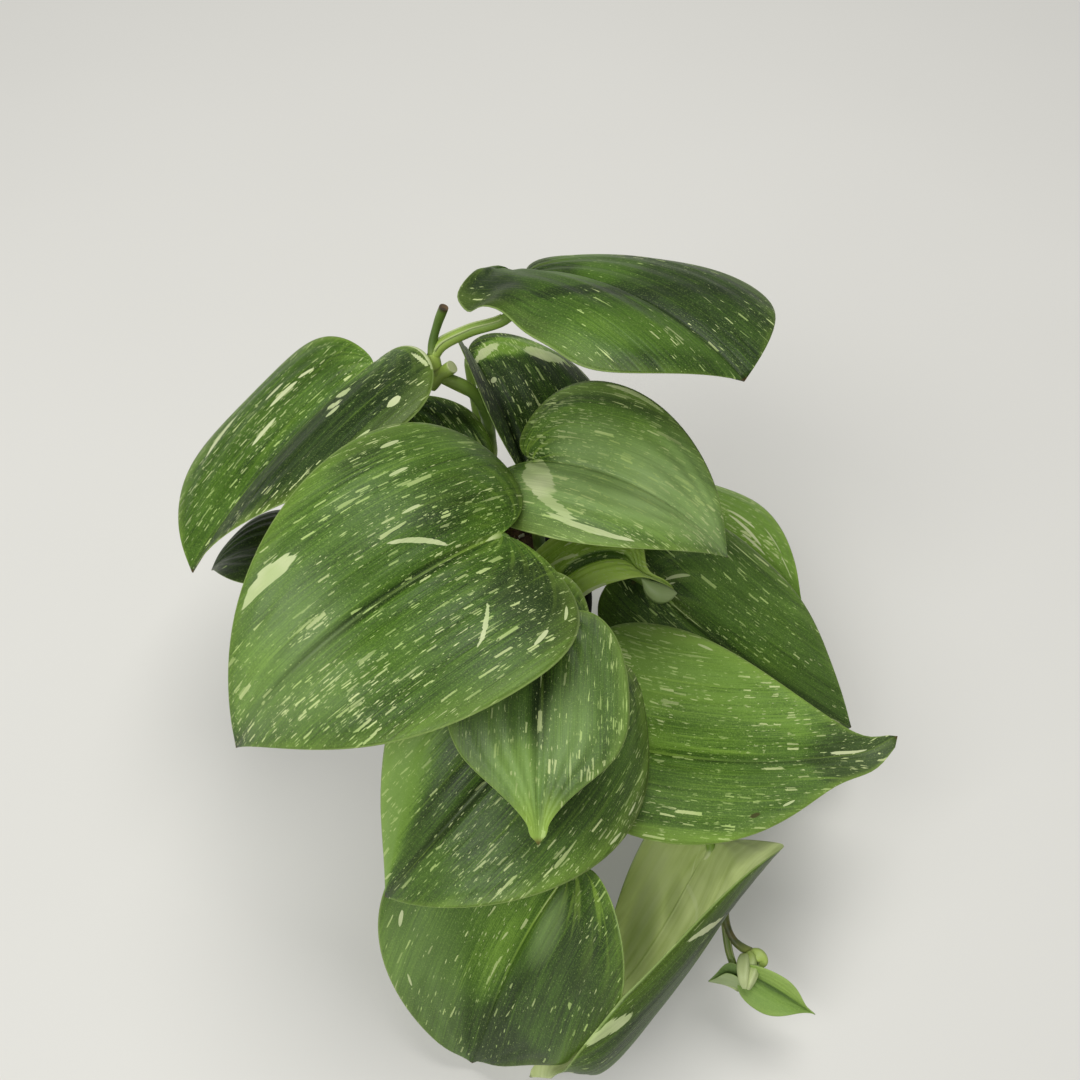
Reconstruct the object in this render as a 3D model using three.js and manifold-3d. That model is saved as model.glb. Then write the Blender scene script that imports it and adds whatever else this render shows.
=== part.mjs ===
// Potted rubicon scindapsus: 15 heart-shaped leaves on trailing vines, in a black nursery pot.
// Millimetres, +Z up. The origin is the centre of the pot's flat underside.
import * as THREE from "three";
import { mergeVertices } from "three/addons/utils/BufferGeometryUtils.js";
import Module from "manifold-3d";

const wasm = await Module();
wasm.setup();

const GAP = 0.3;

const POT = {
  height: 85,
  baseRadius: 36,
  rimRadius: 50,
  bandHeight: 10,
  bandStep: 1.6,
  wall: 1.4,
  floor: 1.6,
  lipRound: 0.8,
  drainHoles: 6,
  drainRadius: 4,
  drainCircle: 24,
  drainSides: 16,
  sides: 48,
};

const SOIL = {
  top: 74,
  shoulder: 3,
  bump: 1.6,
  wallClearance: 0.7,
  rings: 5,
  sides: 24,
};

const BLADE = {
  thickness: 0.8,
  stepsPerArc: 7,
  stepsAcross: 3,
  ribStep: 2,
  midribEase: 1.7,
  tauMin: -0.35,
  tauMax: 1.05,
  lobeStart: 0.12,
  lobeRound: 0.9,
  shoulder: 0.45,
  tipPull: 0.74,
};

const PETIOLE = {
  rootRadius: 2.1,
  radius: 1.6,
  tipRadius: 0.5,
  thinsFrom: 0.75,
  belowBase: 1.4,
  ribPlaces: [{ share: 0.06, below: 0.9 }, { share: 0.14, below: 0.5 }],
  sides: 8,
  steps: 12,
};

const VINE = {
  swell: 0.2,
  swellLength: 0.03,
  thinsFrom: 0.66,
  sides: 8,
  steps: 12,
  branchSteps: 6,
};

// The rolled new leaf at the end of the hanging vine, a closed point in its sheath.
const BUD = {
  points: [[103, -113.6, 32.5], [102.4, -117, 33.2], [101.6, -121, 33.6], [100.6, -125, 33.4]],
  radius: 2.1,
  sides: 8,
  steps: 8,
};

// A vine runs through its points, from inside the soil to its free end, and thins by thinning over its
// last third. Swellings are nodes, given as fractions of its length. Branches are short side stems.
const VINES = [
  {
    name: "vine_back",
    radius: 2.3,
    thinning: 0,
    points: [[7, 24, 54], [8, 30, 78], [12, 46, 100], [12, 55, 115], [9, 57, 127], [4, 57, 134],
      [-2, 58, 137], [-6, 59.5, 140.5], [-7, 62.5, 144.5]],
    nodes: [0.55, 0.97],
    branches: [
      { radius: 1.6, points: [[-6.8, 60, 142], [-6.6, 64, 148], [-4.4, 67, 155], [-1.8, 67.5, 162]] },
      { radius: 2.3, points: [[-8, 57, 134], [-4.8, 58, 138], [0.3, 58, 143]] },
    ],
  },
  {
    name: "vine_centre",
    radius: 2.4,
    thinning: 0,
    points: [[14, -6, 54], [15, -6, 76], [17, -5, 90], [20, -3, 102]],
    nodes: [0.72, 0.98],
    branches: [],
  },
  {
    name: "vine_trailing",
    radius: 2.2,
    thinning: 0.25,
    points: [[16, -12, 54], [20, -17, 76], [32, -30, 89], [42, -40, 90.5], [54, -50, 83], [66, -58, 73],
      [78, -66, 57], [90, -77, 43], [96, -90, 38], [95, -101, 36.5], [97.6, -108, 34],
      [101, -110.7, 32.6], [103.8, -111.7, 31.6]],
    nodes: [0.28, 0.42, 0.55, 0.9, 0.99],
    branches: [],
  },
  {
    name: "vine_right",
    radius: 2.3,
    thinning: 0,
    points: [[30, 8, 54], [31, 11, 76], [31, 16, 90], [30, 20, 100]],
    nodes: [0.55, 0.75, 0.98],
    branches: [],
  },
  {
    name: "vine_left",
    radius: 2.2,
    thinning: 0,
    points: [[-12, 10, 54], [-13, 10, 76], [-13, 12, 88], [-11, 14, 95]],
    nodes: [0.75, 0.98],
    branches: [],
  },
];

// base is where the petiole meets the blade. heading, pitch and roll turn the midrib from base to tip,
// in degrees. Each half has its own width, lobe behind the base, widest place and slope across, from
// midrib to margin. The petiole leaves its vine at a fraction of its length and passes the via points.
const LEAVES = [
  {
    name: "leaf_01",
    base: [19, -16, 146],
    length: 118,
    taper: 0.32,
    heading: [-136, -158],
    pitch: [27, -67],
    roll: [-8, -11],
    left: { width: 49, lobe: 0.05, widest: 0.23, slope: [13, 8] },
    right: { width: 53, lobe: 0.32, widest: 0.04, slope: [22, -20] },
    petiole: { vine: "vine_centre", at: 0.97, via: [[21, -8, 124]], girth: 1 },
  },
  {
    name: "leaf_02",
    base: [28, 81, 165],
    length: 91,
    taper: 1.5,
    heading: [-29, -53],
    pitch: [25, -15],
    roll: [-26, -13],
    left: { width: 44, lobe: 0.16, widest: 0.32, slope: [13, -15] },
    right: { width: 45, lobe: 0.2, widest: 0.23, slope: [21, -24] },
    petiole: { vine: "vine_back", at: 0.99, via: [[-4, 64, 147], [6, 66, 152], [20, 68, 157]], girth: 1.1 },
  },
  {
    name: "leaf_03",
    base: [-30, 71, 131],
    length: 100,
    taper: 0.84,
    heading: [-134, -116],
    pitch: [-4, -16],
    roll: [15, 25],
    left: { width: 48, lobe: 0.16, widest: 0.19, slope: [40, -26] },
    right: { width: 47, lobe: 0.05, widest: 0.24, slope: [18, -31] },
    petiole: { vine: "vine_back", at: 0.8, via: [[-15, 68, 132]], girth: 1 },
  },
  {
    name: "leaf_04",
    base: [-47, 9, 104],
    length: 51,
    taper: 0.36,
    heading: [173, 181],
    pitch: [8, -58],
    roll: [10, 3],
    left: { width: 20, lobe: 0.3, widest: 0.26, slope: [17, -18] },
    right: { width: 20, lobe: 0.3, widest: 0.27, slope: [16, -33] },
    petiole: { vine: "vine_left", at: 0.95, via: [[-28, 12, 98]], girth: 0.8 },
  },
  {
    name: "leaf_05",
    base: [-2, 32, 116],
    length: 48,
    taper: 0.3,
    heading: [120, 127],
    pitch: [12, -26],
    roll: [-3, -6],
    left: { width: 21, lobe: 0.3, widest: 0.29, slope: [15, -20] },
    right: { width: 21, lobe: 0.29, widest: 0.3, slope: [18, -17] },
    petiole: { vine: "vine_left", at: 0.8, via: [[-6, 20, 100]], girth: 0.8 },
  },
  {
    name: "leaf_06",
    base: [4, 84, 121],
    length: 72,
    taper: 0.24,
    heading: [-63, -69],
    pitch: [8, -46],
    roll: [-18, 0],
    left: { width: 42, lobe: 0.3, widest: 0.29, slope: [17, -18] },
    right: { width: 20, lobe: 0.1, widest: 0.26, slope: [66, 35] },
    petiole: { vine: "vine_back", at: 0.3, via: [[8, 62, 100]], girth: 1 },
  },
  {
    name: "leaf_07",
    base: [29, 27, 129],
    length: 81,
    taper: 0.39,
    heading: [-24, -22],
    pitch: [27, -55],
    roll: [-2, 1],
    left: { width: 38, lobe: 0.22, widest: 0.15, slope: [17, -6] },
    right: { width: 34, lobe: 0.28, widest: 0.2, slope: [19, -11] },
    petiole: { vine: "vine_right", at: 0.95, via: [[29, 23, 114]], girth: 1 },
  },
  {
    name: "leaf_08",
    base: [37, -7, 102],
    length: 49,
    taper: 0.26,
    heading: [43, -46],
    pitch: [31, -39],
    roll: [-4, -3],
    left: { width: 16, lobe: 0.31, widest: 0.26, slope: [30, -20] },
    right: { width: 11, lobe: 0.29, widest: 0.29, slope: [29, -60] },
    petiole: { vine: "vine_centre", at: 0.7, via: [[28, -13, 97]], girth: 0.8 },
  },
  {
    name: "leaf_09",
    base: [80, 6, 71],
    length: 90,
    taper: 0.59,
    heading: [-36, -12],
    pitch: [-20, -34],
    roll: [2, 1],
    left: { width: 43, lobe: 0.32, widest: 0.17, slope: [24, -21] },
    right: { width: 37, lobe: 0.35, widest: 0.26, slope: [19, -15] },
    petiole: { vine: "vine_right", at: 0.75, via: [[46, 13, 91], [66, 9, 84]], girth: 1 },
  },
  {
    name: "leaf_10",
    base: [84, 50, 66],
    length: 67,
    taper: 0.25,
    heading: [-17, -36],
    pitch: [-6, -40],
    roll: [-3, 10],
    left: { width: 30, lobe: 0.3, widest: 0.32, slope: [17, -45] },
    right: { width: 30, lobe: 0.3, widest: 0.29, slope: [15, -20] },
    petiole: { vine: "vine_right", at: 0.55, via: [[42, 30, 90], [64, 42, 80]], girth: 0.9 },
  },
  {
    name: "leaf_11",
    base: [53, -58, 86],
    length: 106,
    taper: 0.21,
    heading: [-5, 14],
    pitch: [-23, 0],
    roll: [0, 4],
    left: { width: 48, lobe: 0.24, widest: 0.22, slope: [22, -12] },
    right: { width: 32, lobe: 0.24, widest: 0.19, slope: [20, -14] },
    petiole: { vine: "vine_trailing", at: 0.42, via: [[47, -49, 85]], girth: 1 },
  },
  {
    name: "leaf_12",
    base: [32, -50, 138],
    length: 59,
    taper: 0.35,
    heading: [-94, -89],
    pitch: [-11, -38],
    roll: [-2, -1],
    left: { width: 27, lobe: 0.29, widest: 0.33, slope: [13, -19] },
    right: { width: 28, lobe: 0.3, widest: 0.31, slope: [15, -19] },
    petiole: {
      vine: "vine_centre",
      at: 0.6,
      via: [[14, -17, 118], [17, -26, 140.5], [25, -36, 139.5]],
      girth: 0.9,
    },
  },
  {
    name: "leaf_13",
    base: [42, -50, 117],
    length: 98,
    taper: 0.45,
    heading: [-123, -153],
    pitch: [8, -60],
    roll: [-35, 8],
    left: { width: 45, lobe: 0.37, widest: 0.18, slope: [5, -20] },
    right: { width: 42, lobe: 0.32, widest: 0.23, slope: [18, -22] },
    petiole: { vine: "vine_trailing", at: 0.28, via: [[42, -38, 104]], girth: 1 },
  },
  {
    name: "leaf_14",
    base: [39, -100, 76],
    length: 92,
    taper: 0.49,
    heading: [-138, -110],
    pitch: [-44, -61],
    roll: [11, -7],
    left: { width: 44, lobe: 0.25, widest: 0.33, slope: [28, -18] },
    right: { width: 50, lobe: 0.29, widest: 0.4, slope: [16, 2] },
    petiole: { vine: "vine_trailing", at: 0.52, via: [[56, -70, 68], [47, -88, 69]], girth: 1 },
  },
  {
    name: "leaf_15",
    base: [90, -81, 48],
    length: 102,
    taper: 0.05,
    heading: [-117, -151],
    pitch: [-9, -43],
    roll: [158, 185],
    left: { width: 26, lobe: 0.15, widest: 0.05, slope: [-11, -23] },
    right: { width: 51, lobe: 0.15, widest: 0.38, slope: [-18, -176] },
    petiole: { vine: "vine_trailing", at: 0.62, via: [[84, -72, 57]], girth: 1 },
  },
  {
    name: "leaflet_left",
    base: [98.4, -119.4, 28],
    length: 11,
    taper: 0.5,
    heading: [168, 174],
    pitch: [6, 0],
    roll: [-10, -10],
    left: { width: 6.5, lobe: 0.08, widest: 0.4, slope: [60, 25] },
    right: { width: 6.5, lobe: 0.08, widest: 0.4, slope: [70, 30] },
    petiole: { vine: "vine_trailing", at: 0.9, via: [[96, -111, 31.6]], girth: 0.75 },
  },
  {
    name: "leaflet_right",
    base: [106, -118.6, 30],
    length: 25,
    taper: 0.4,
    heading: [-14, -38],
    pitch: [-16, -40],
    roll: [4, 0],
    left: { width: 8, lobe: 0.12, widest: 0.25, slope: [30, -30] },
    right: { width: 8.5, lobe: 0.12, widest: 0.3, slope: [6, -34] },
    petiole: { vine: "vine_trailing", at: 0.995, via: [[106.6, -115, 31]], girth: 0.7 },
  },
];

const LOOKS = {
  pot: { color: 0x1b1b1d, roughness: 0.5 },
  soil: { color: 0x3a2a1e, roughness: 0.95 },
  vine: { color: 0x8fae55, roughness: 0.5 },
  leaf: { color: 0x2f5c22, roughness: 0.4 },
  bud: { color: 0xa9c47a, roughness: 0.4 },
};

// Points of a mesh that are closer than this are one point.
const WELD = 0.001;

const lerp = THREE.MathUtils.lerp;

function solidFrom(geometry) {
  const bare = geometry.clone();
  bare.deleteAttribute("normal");
  bare.deleteAttribute("uv");
  const merged = mergeVertices(bare, WELD);
  return new wasm.Manifold(new wasm.Mesh({
    numProp: 3,
    vertProperties: merged.attributes.position.array,
    triVerts: new Uint32Array(merged.index.array),
  }));
}

function meshFrom(solid, name, look) {
  const made = solid.getMesh();
  const geometry = new THREE.BufferGeometry();
  geometry.setAttribute("position", new THREE.BufferAttribute(made.vertProperties, 3));
  geometry.setIndex(new THREE.BufferAttribute(made.triVerts, 1));
  geometry.computeVertexNormals();
  const mesh = new THREE.Mesh(geometry, new THREE.MeshStandardMaterial(look));
  mesh.name = name;
  return mesh;
}

function geometryFrom(vertices, triangles) {
  const geometry = new THREE.BufferGeometry();
  const places = vertices.flatMap((p) => p.toArray());
  geometry.setAttribute("position", new THREE.Float32BufferAttribute(places, 3));
  geometry.setIndex(triangles);
  return geometry;
}

// A closed tube along the curve, with its own radius at each fraction of the length.
function tube(curve, radiusAt, steps, sides) {
  const frames = curve.computeFrenetFrames(steps);
  const vertices = [];
  for (let i = 0; i <= steps; i++) {
    const centre = curve.getPointAt(i / steps);
    for (let j = 0; j < sides; j++) {
      const turn = (2 * Math.PI * j) / sides;
      vertices.push(centre.clone()
        .addScaledVector(frames.normals[i], radiusAt(i / steps) * Math.cos(turn))
        .addScaledVector(frames.binormals[i], radiusAt(i / steps) * Math.sin(turn)));
    }
  }
  vertices.push(curve.getPointAt(0), curve.getPointAt(1));
  const [first, last] = [vertices.length - 2, vertices.length - 1];
  const triangles = [];
  for (let j = 0; j < sides; j++) {
    const next = (j + 1) % sides;
    for (let i = 0; i < steps; i++) {
      const [a, b] = [i * sides + j, i * sides + next];
      triangles.push(a, b, b + sides, a, b + sides, a + sides);
    }
    triangles.push(first, next, j);
    triangles.push(last, steps * sides + j, steps * sides + next);
  }
  return geometryFrom(vertices, triangles);
}

// The flat outline of one half, from the base back round the lobe and on to the tip.
function halfOutline(leaf, half) {
  const [L, W] = [leaf.length, half.width];
  const back = -half.lobe * L;
  const middle = half.widest * L;
  const round = new THREE.CubicBezierCurve(
    new THREE.Vector2(0, 0),
    new THREE.Vector2(back, BLADE.lobeStart * W),
    new THREE.Vector2(BLADE.lobeRound * back, W),
    new THREE.Vector2(middle, W),
  );
  const run = new THREE.CubicBezierCurve(
    new THREE.Vector2(middle, W),
    new THREE.Vector2(lerp(middle, L, BLADE.shoulder), W),
    new THREE.Vector2(BLADE.tipPull * L, leaf.taper * W),
    new THREE.Vector2(L, 0),
  );
  return [...round.getPoints(BLADE.stepsPerArc), ...run.getPoints(BLADE.stepsPerArc).slice(1)];
}

// The midrib's direction, the blade's left and the blade's up at a fraction of the length.
function frameAt(leaf, fraction) {
  const tau = THREE.MathUtils.clamp(fraction, BLADE.tauMin, BLADE.tauMax);
  const [heading, pitch, roll] = [leaf.heading, leaf.pitch, leaf.roll]
    .map((range) => THREE.MathUtils.degToRad(lerp(...range, tau)));
  const ahead = new THREE.Vector3(
    Math.cos(heading) * Math.cos(pitch),
    Math.sin(heading) * Math.cos(pitch),
    Math.sin(pitch),
  );
  const level = new THREE.Vector3(-Math.sin(heading), Math.cos(heading), 0);
  const upright = ahead.clone().cross(level);
  const left = level.clone().multiplyScalar(Math.cos(roll)).addScaledVector(upright, Math.sin(roll));
  const up = ahead.clone().cross(left);
  return { ahead, left, up };
}

// The midrib's place at a distance along from the base, by adding short straight steps.
function midribAt(leaf, along) {
  const place = new THREE.Vector3(...leaf.base);
  const count = Math.max(1, Math.ceil(Math.abs(along) / BLADE.ribStep));
  const step = along / count;
  for (let i = 0; i < count; i++)
    place.addScaledVector(frameAt(leaf, ((i + 0.5) * step) / leaf.length).ahead, step);
  return place;
}

// A flat point (along, across) on the bent blade. Across the blade each half is an arc whose slope
// turns evenly from the midrib to the margin.
function bend(leaf, along, across, side) {
  const half = side > 0 ? leaf.left : leaf.right;
  const [inner, outer] = half.slope.map(THREE.MathUtils.degToRad);
  const turn = (outer - inner) / half.width;
  const slope = inner + turn * across;
  const out = (Math.sin(slope) - Math.sin(inner)) / turn;
  const rise = (Math.cos(inner) - Math.cos(slope)) / turn;
  const { left, up } = frameAt(leaf, along / leaf.length);
  return midribAt(leaf, along).addScaledVector(left, side * out).addScaledVector(up, rise);
}

// Rows of blade points, each row running from the left margin over the midrib to the right margin.
function bladeRows(leaf) {
  const outlines = [halfOutline(leaf, leaf.left), halfOutline(leaf, leaf.right)];
  const last = outlines[0].length - 1;
  const n = BLADE.stepsAcross;
  const rows = [];
  for (let i = 0; i <= last; i++) {
    const rib = leaf.length * (i / last) ** BLADE.midribEase;
    const row = [];
    for (let j = -n; j <= n; j++) {
      const side = j < 0 ? 1 : -1;
      const share = Math.abs(j) / n;
      const margin = outlines[side > 0 ? 0 : 1][i];
      row.push(bend(leaf, lerp(rib, margin.x, share), share * margin.y, side));
    }
    rows.push(row);
  }
  return rows;
}

// The blade as a closed solid: one pole at the base, one at the tip, and both faces split alike.
function blade(leaf) {
  const rows = bladeRows(leaf);
  const wide = rows[0].length;
  const middle = [rows[0][0], ...rows.slice(1, -1).flat(), rows.at(-1)[0]];
  const tip = middle.length - 1;
  const at = (i, j) => (i === 0 ? 0 : i === rows.length - 1 ? tip : 1 + (i - 1) * wide + j);
  const faces = [];
  for (let i = 0; i < rows.length - 1; i++)
    for (let j = 0; j < wide - 1; j++) {
      if (i > 0) faces.push([at(i, j), at(i, j + 1), at(i + 1, j)]);
      if (i < rows.length - 2) faces.push([at(i, j + 1), at(i + 1, j + 1), at(i + 1, j)]);
    }
  const normals = vertexNormals(middle, faces);
  const over = middle.map((p, i) => p.clone().addScaledVector(normals[i], BLADE.thickness / 2));
  const under = middle.map((p, i) => p.clone().addScaledVector(normals[i], -BLADE.thickness / 2));
  const shift = middle.length;
  const triangles = [];
  for (const [a, b, c] of faces) triangles.push(a, b, c, c + shift, b + shift, a + shift);
  for (let i = 0; i < rows.length - 1; i++) {
    const rims = [[at(i + 1, 0), at(i, 0)], [at(i, wide - 1), at(i + 1, wide - 1)]];
    for (const [p, q] of rims) triangles.push(q, p, p + shift, q, p + shift, q + shift);
  }
  return solidFrom(geometryFrom([...over, ...under], triangles));
}

function vertexNormals(points, faces) {
  const normals = points.map(() => new THREE.Vector3());
  for (const [a, b, c] of faces) {
    const edge = points[b].clone().sub(points[a]);
    const face = edge.cross(points[c].clone().sub(points[a]));
    for (const i of [a, b, c]) normals[i].add(face);
  }
  return normals.map((n) => n.normalize());
}

function vectors(points) {
  return points.map((p) => new THREE.Vector3(...p));
}

function curveOf(points) {
  return new THREE.CatmullRomCurve3(vectors(points), false, "centripetal");
}

function vineRadiusAt(vine, share) {
  const bulge = (at) => Math.exp(-(((share - at) / VINE.swellLength) ** 2));
  const swell = vine.nodes.reduce((sum, at) => sum + bulge(at), 0);
  const thinning = vine.thinning * THREE.MathUtils.smoothstep(share, VINE.thinsFrom, 1);
  return vine.radius * (1 + VINE.swell * swell - thinning);
}

// A vine with its branches, or with extra radius as the room that its neighbours leave round it.
function vineSolid(vine, extra = 0) {
  const steps = VINE.steps + 2 * vine.points.length;
  const stem = tube(curveOf(vine.points), (t) => vineRadiusAt(vine, t) + extra, steps, VINE.sides);
  return vine.branches.reduce(
    (whole, { radius, points }) => {
      const side = tube(curveOf(points), () => radius + extra, VINE.branchSteps, VINE.sides);
      return whole.add(solidFrom(side));
    },
    solidFrom(stem),
  );
}

// The petiole leaves its vine, comes up under the blade and runs out beneath the midrib.
function petiole(leaf) {
  const { vine, at, via, girth } = leaf.petiole;
  const grownFrom = VINES.find((v) => v.name === vine);
  const start = curveOf(grownFrom.points).getPointAt(at).toArray();
  const under = (along, below) => midribAt(leaf, along)
    .addScaledVector(frameAt(leaf, along / leaf.length).up, -below * girth)
    .toArray();
  const points = [
    start,
    ...via,
    under(0, PETIOLE.belowBase),
    ...PETIOLE.ribPlaces.map(({ share, below }) => under(share * leaf.length, below)),
  ];
  const radiusAt = (t) => girth * (t < PETIOLE.thinsFrom
    ? lerp(PETIOLE.rootRadius, PETIOLE.radius, t / PETIOLE.thinsFrom)
    : lerp(PETIOLE.radius, PETIOLE.tipRadius, (t - PETIOLE.thinsFrom) / (1 - PETIOLE.thinsFrom)));
  const stalk = solidFrom(tube(curveOf(points), radiusAt, PETIOLE.steps, PETIOLE.sides));
  return largest(stalk.subtract(vineSolid(grownFrom, GAP)));
}

function largest(solid) {
  return solid.decompose().sort((a, b) => b.volume() - a.volume())[0];
}

function leafMesh(leaf) {
  return meshFrom(blade(leaf).add(petiole(leaf)), leaf.name, LOOKS.leaf);
}

// It starts narrow, is widest before the middle and runs out to a point.
function budMesh() {
  const radiusAt = (t) => BUD.radius * (0.45 + 0.55 * Math.sin(Math.PI * t ** 0.8) - 0.3 * t);
  const point = solidFrom(tube(curveOf(BUD.points), radiusAt, BUD.steps, BUD.sides));
  const trailing = VINES.find((v) => v.name === "vine_trailing");
  return meshFrom(largest(point.subtract(vineSolid(trailing, GAP))), "bud", LOOKS.bud);
}

function potRadiusAt(height) {
  return lerp(POT.baseRadius, POT.rimRadius - POT.bandStep, height / POT.height);
}

// Across the rim band: the outer face steps out below the lip, and the wall keeps its thickness.
function potProfile() {
  const bandFoot = POT.height - POT.bandHeight;
  const outer = [
    [0, 0],
    [POT.baseRadius, 0],
    [potRadiusAt(bandFoot), bandFoot],
    [POT.rimRadius - POT.lipRound, bandFoot + POT.lipRound],
    [POT.rimRadius, POT.height - POT.lipRound],
    [POT.rimRadius - POT.lipRound, POT.height],
  ];
  const bandInside = POT.rimRadius - POT.wall - POT.lipRound;
  const inner = [
    [bandInside, POT.height],
    [bandInside, bandFoot + POT.bandStep + POT.lipRound],
    [potRadiusAt(bandFoot) - POT.wall, bandFoot],
    [potRadiusAt(POT.floor) - POT.wall, POT.floor],
    [0, POT.floor],
  ];
  return [...outer, ...inner].map(([r, z]) => new THREE.Vector2(r, z));
}

function potMesh() {
  const turned = new THREE.LatheGeometry(potProfile(), POT.sides).rotateX(Math.PI / 2);
  const drillLength = 4 * POT.floor;
  let pot = solidFrom(turned);
  for (let i = 0; i < POT.drainHoles; i++) {
    const turn = (2 * Math.PI * i) / POT.drainHoles;
    const drill = new THREE.CylinderGeometry(POT.drainRadius, POT.drainRadius, drillLength, POT.drainSides)
      .rotateX(Math.PI / 2)
      .translate(POT.drainCircle * Math.cos(turn), POT.drainCircle * Math.sin(turn), 0);
    pot = pot.subtract(solidFrom(drill));
  }
  return meshFrom(pot, "pot", LOOKS.pot);
}

// A gentle unevenness between about -1 and 1 over the soil's top.
function lumpAt(x, y) {
  return (Math.sin(0.35 * x + 1.2) * Math.cos(0.31 * y) + 0.6 * Math.sin(0.8 * x - 0.7 * y)) / 1.6;
}

// Soil fills the pot to just below the rim. Its top is lumpy, and the vines stand in plain holes.
function soilMesh() {
  const foot = POT.floor + GAP;
  const edge = SOIL.top - SOIL.shoulder;
  const radiusAt = (z) => potRadiusAt(z) - POT.wall - SOIL.wallClearance;
  const loops = [{ r: radiusAt(foot), z: foot, bump: 0 }, { r: radiusAt(edge), z: edge, bump: 0 }];
  for (let ring = SOIL.rings; ring > 0; ring--)
    loops.push({ r: ((radiusAt(SOIL.top) - 1) * ring) / SOIL.rings, z: SOIL.top, bump: SOIL.bump });
  const vertices = [new THREE.Vector3(0, 0, foot), new THREE.Vector3(0, 0, SOIL.top)];
  for (const { r, z, bump } of loops)
    for (let i = 0; i < SOIL.sides; i++) {
      const turn = (2 * Math.PI * i) / SOIL.sides;
      const [x, y] = [r * Math.cos(turn), r * Math.sin(turn)];
      vertices.push(new THREE.Vector3(x, y, z + bump * lumpAt(x, y)));
    }
  const triangles = [];
  const at = (loop, i) => 2 + loop * SOIL.sides + (i % SOIL.sides);
  for (let i = 0; i < SOIL.sides; i++) {
    triangles.push(0, at(0, i + 1), at(0, i));
    for (let loop = 0; loop < loops.length - 1; loop++) {
      triangles.push(at(loop, i), at(loop, i + 1), at(loop + 1, i + 1));
      triangles.push(at(loop, i), at(loop + 1, i + 1), at(loop + 1, i));
    }
    triangles.push(1, at(loops.length - 1, i), at(loops.length - 1, i + 1));
  }
  const soil = VINES.reduce(
    (rest, vine) => rest.subtract(vineSolid(vine, GAP)),
    solidFrom(geometryFrom(vertices, triangles)),
  );
  return meshFrom(soil, "soil", LOOKS.soil);
}

const plant = new THREE.Group();
plant.add(potMesh());
plant.add(soilMesh());
for (const vine of VINES) plant.add(meshFrom(vineSolid(vine), vine.name, LOOKS.vine));
for (const leaf of LEAVES) plant.add(leafMesh(leaf));
plant.add(budMesh());

export default plant;
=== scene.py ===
"""Looks of the potted rubicon scindapsus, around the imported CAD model.

Blades, petioles and vines follow the formulas and values of the CAD source, only finer. The bud, and the
trims and moves in LOOKS, are shaped to the photograph by a few millimetres more. Lengths in the tables are
millimetres; every mesh is made in metres.
"""
import math
import random
from collections import namedtuple
from types import SimpleNamespace as Values

import bpy
import numpy as np
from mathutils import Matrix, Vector

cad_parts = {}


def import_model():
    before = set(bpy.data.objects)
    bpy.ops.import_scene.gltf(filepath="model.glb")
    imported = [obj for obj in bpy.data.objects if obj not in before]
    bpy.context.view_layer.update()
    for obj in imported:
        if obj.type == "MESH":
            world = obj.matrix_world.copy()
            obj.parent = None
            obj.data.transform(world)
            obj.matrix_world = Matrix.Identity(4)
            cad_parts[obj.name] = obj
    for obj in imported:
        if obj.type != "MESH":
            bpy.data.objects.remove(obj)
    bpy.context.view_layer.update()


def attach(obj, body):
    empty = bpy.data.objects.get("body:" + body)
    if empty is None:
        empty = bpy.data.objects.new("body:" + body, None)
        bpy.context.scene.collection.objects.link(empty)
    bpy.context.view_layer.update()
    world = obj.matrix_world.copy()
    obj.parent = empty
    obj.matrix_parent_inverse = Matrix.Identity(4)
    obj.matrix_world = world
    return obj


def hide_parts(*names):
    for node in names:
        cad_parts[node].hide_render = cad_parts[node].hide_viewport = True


MM = 0.001
IMAGE = 1080
FOCAL_PX = 1100
CAMERA_PLACE = (31, -213, 424)
CAMERA_DOWN = 55
LIT_PLACE = (0, 0, 0.1)
FLOOR = 3000

SPLINE_STEPS = 60
TUBE_SIDE = (0.3, 0.2, 0.93)  # no tube starts along this direction
BLADE = Values(thickness=0.5, thin_edge=0.6, rows=32, columns=30, midrib_ease=1.7, column_ease=1.15,
               tau=(-0.35, 1.05), step=0.25, reach=1.1)
OUTLINE = Values(lobe_start=0.12, lobe_round=0.9, shoulder=0.45, tip_pull=0.74, drip=(0.55, 0.92))
RELIEF = Values(full_length=60, crease_width=1.7, pleats=4.5, pleat_height=0.25, waves=2.3, wave_height=0.6)
PETIOLE = Values(root=2.1, radius=1.6, end=0.25, below_base=1.4, steps=64, sides=14,
                 ridge=[(0.06, 0.95), (0.14, 0.7), (0.3, 0.55), (0.5, 0.45), (0.72, 0.35)])
WING = Values(start=0.06, end=0.62, places=14, up=0.9, out=0.55, radius=0.42)
VINE = Values(swell=0.2, swell_length=0.03, thins_from=0.66, steps=160, sides=18)

# The thin curled scrap at the tip of leaf_08.
CURL = Values(columns=16, rows=7, thickness=0.35)
LEAF_08_TIP = dict(
    upper=[(66.2, -5.5, 104.4), (71.1, -6.6, 103.8), (76, -8, 102.6), (78.6, -9.4, 101.2)],
    lower=[(66.2, -5.5, 104.4), (67.6, -9.6, 101), (71.5, -12.4, 99.6), (75.6, -11.8, 99.6),
           (78.6, -9.4, 101.2)],
    swell=(0, -1.4, 1.2))

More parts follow.
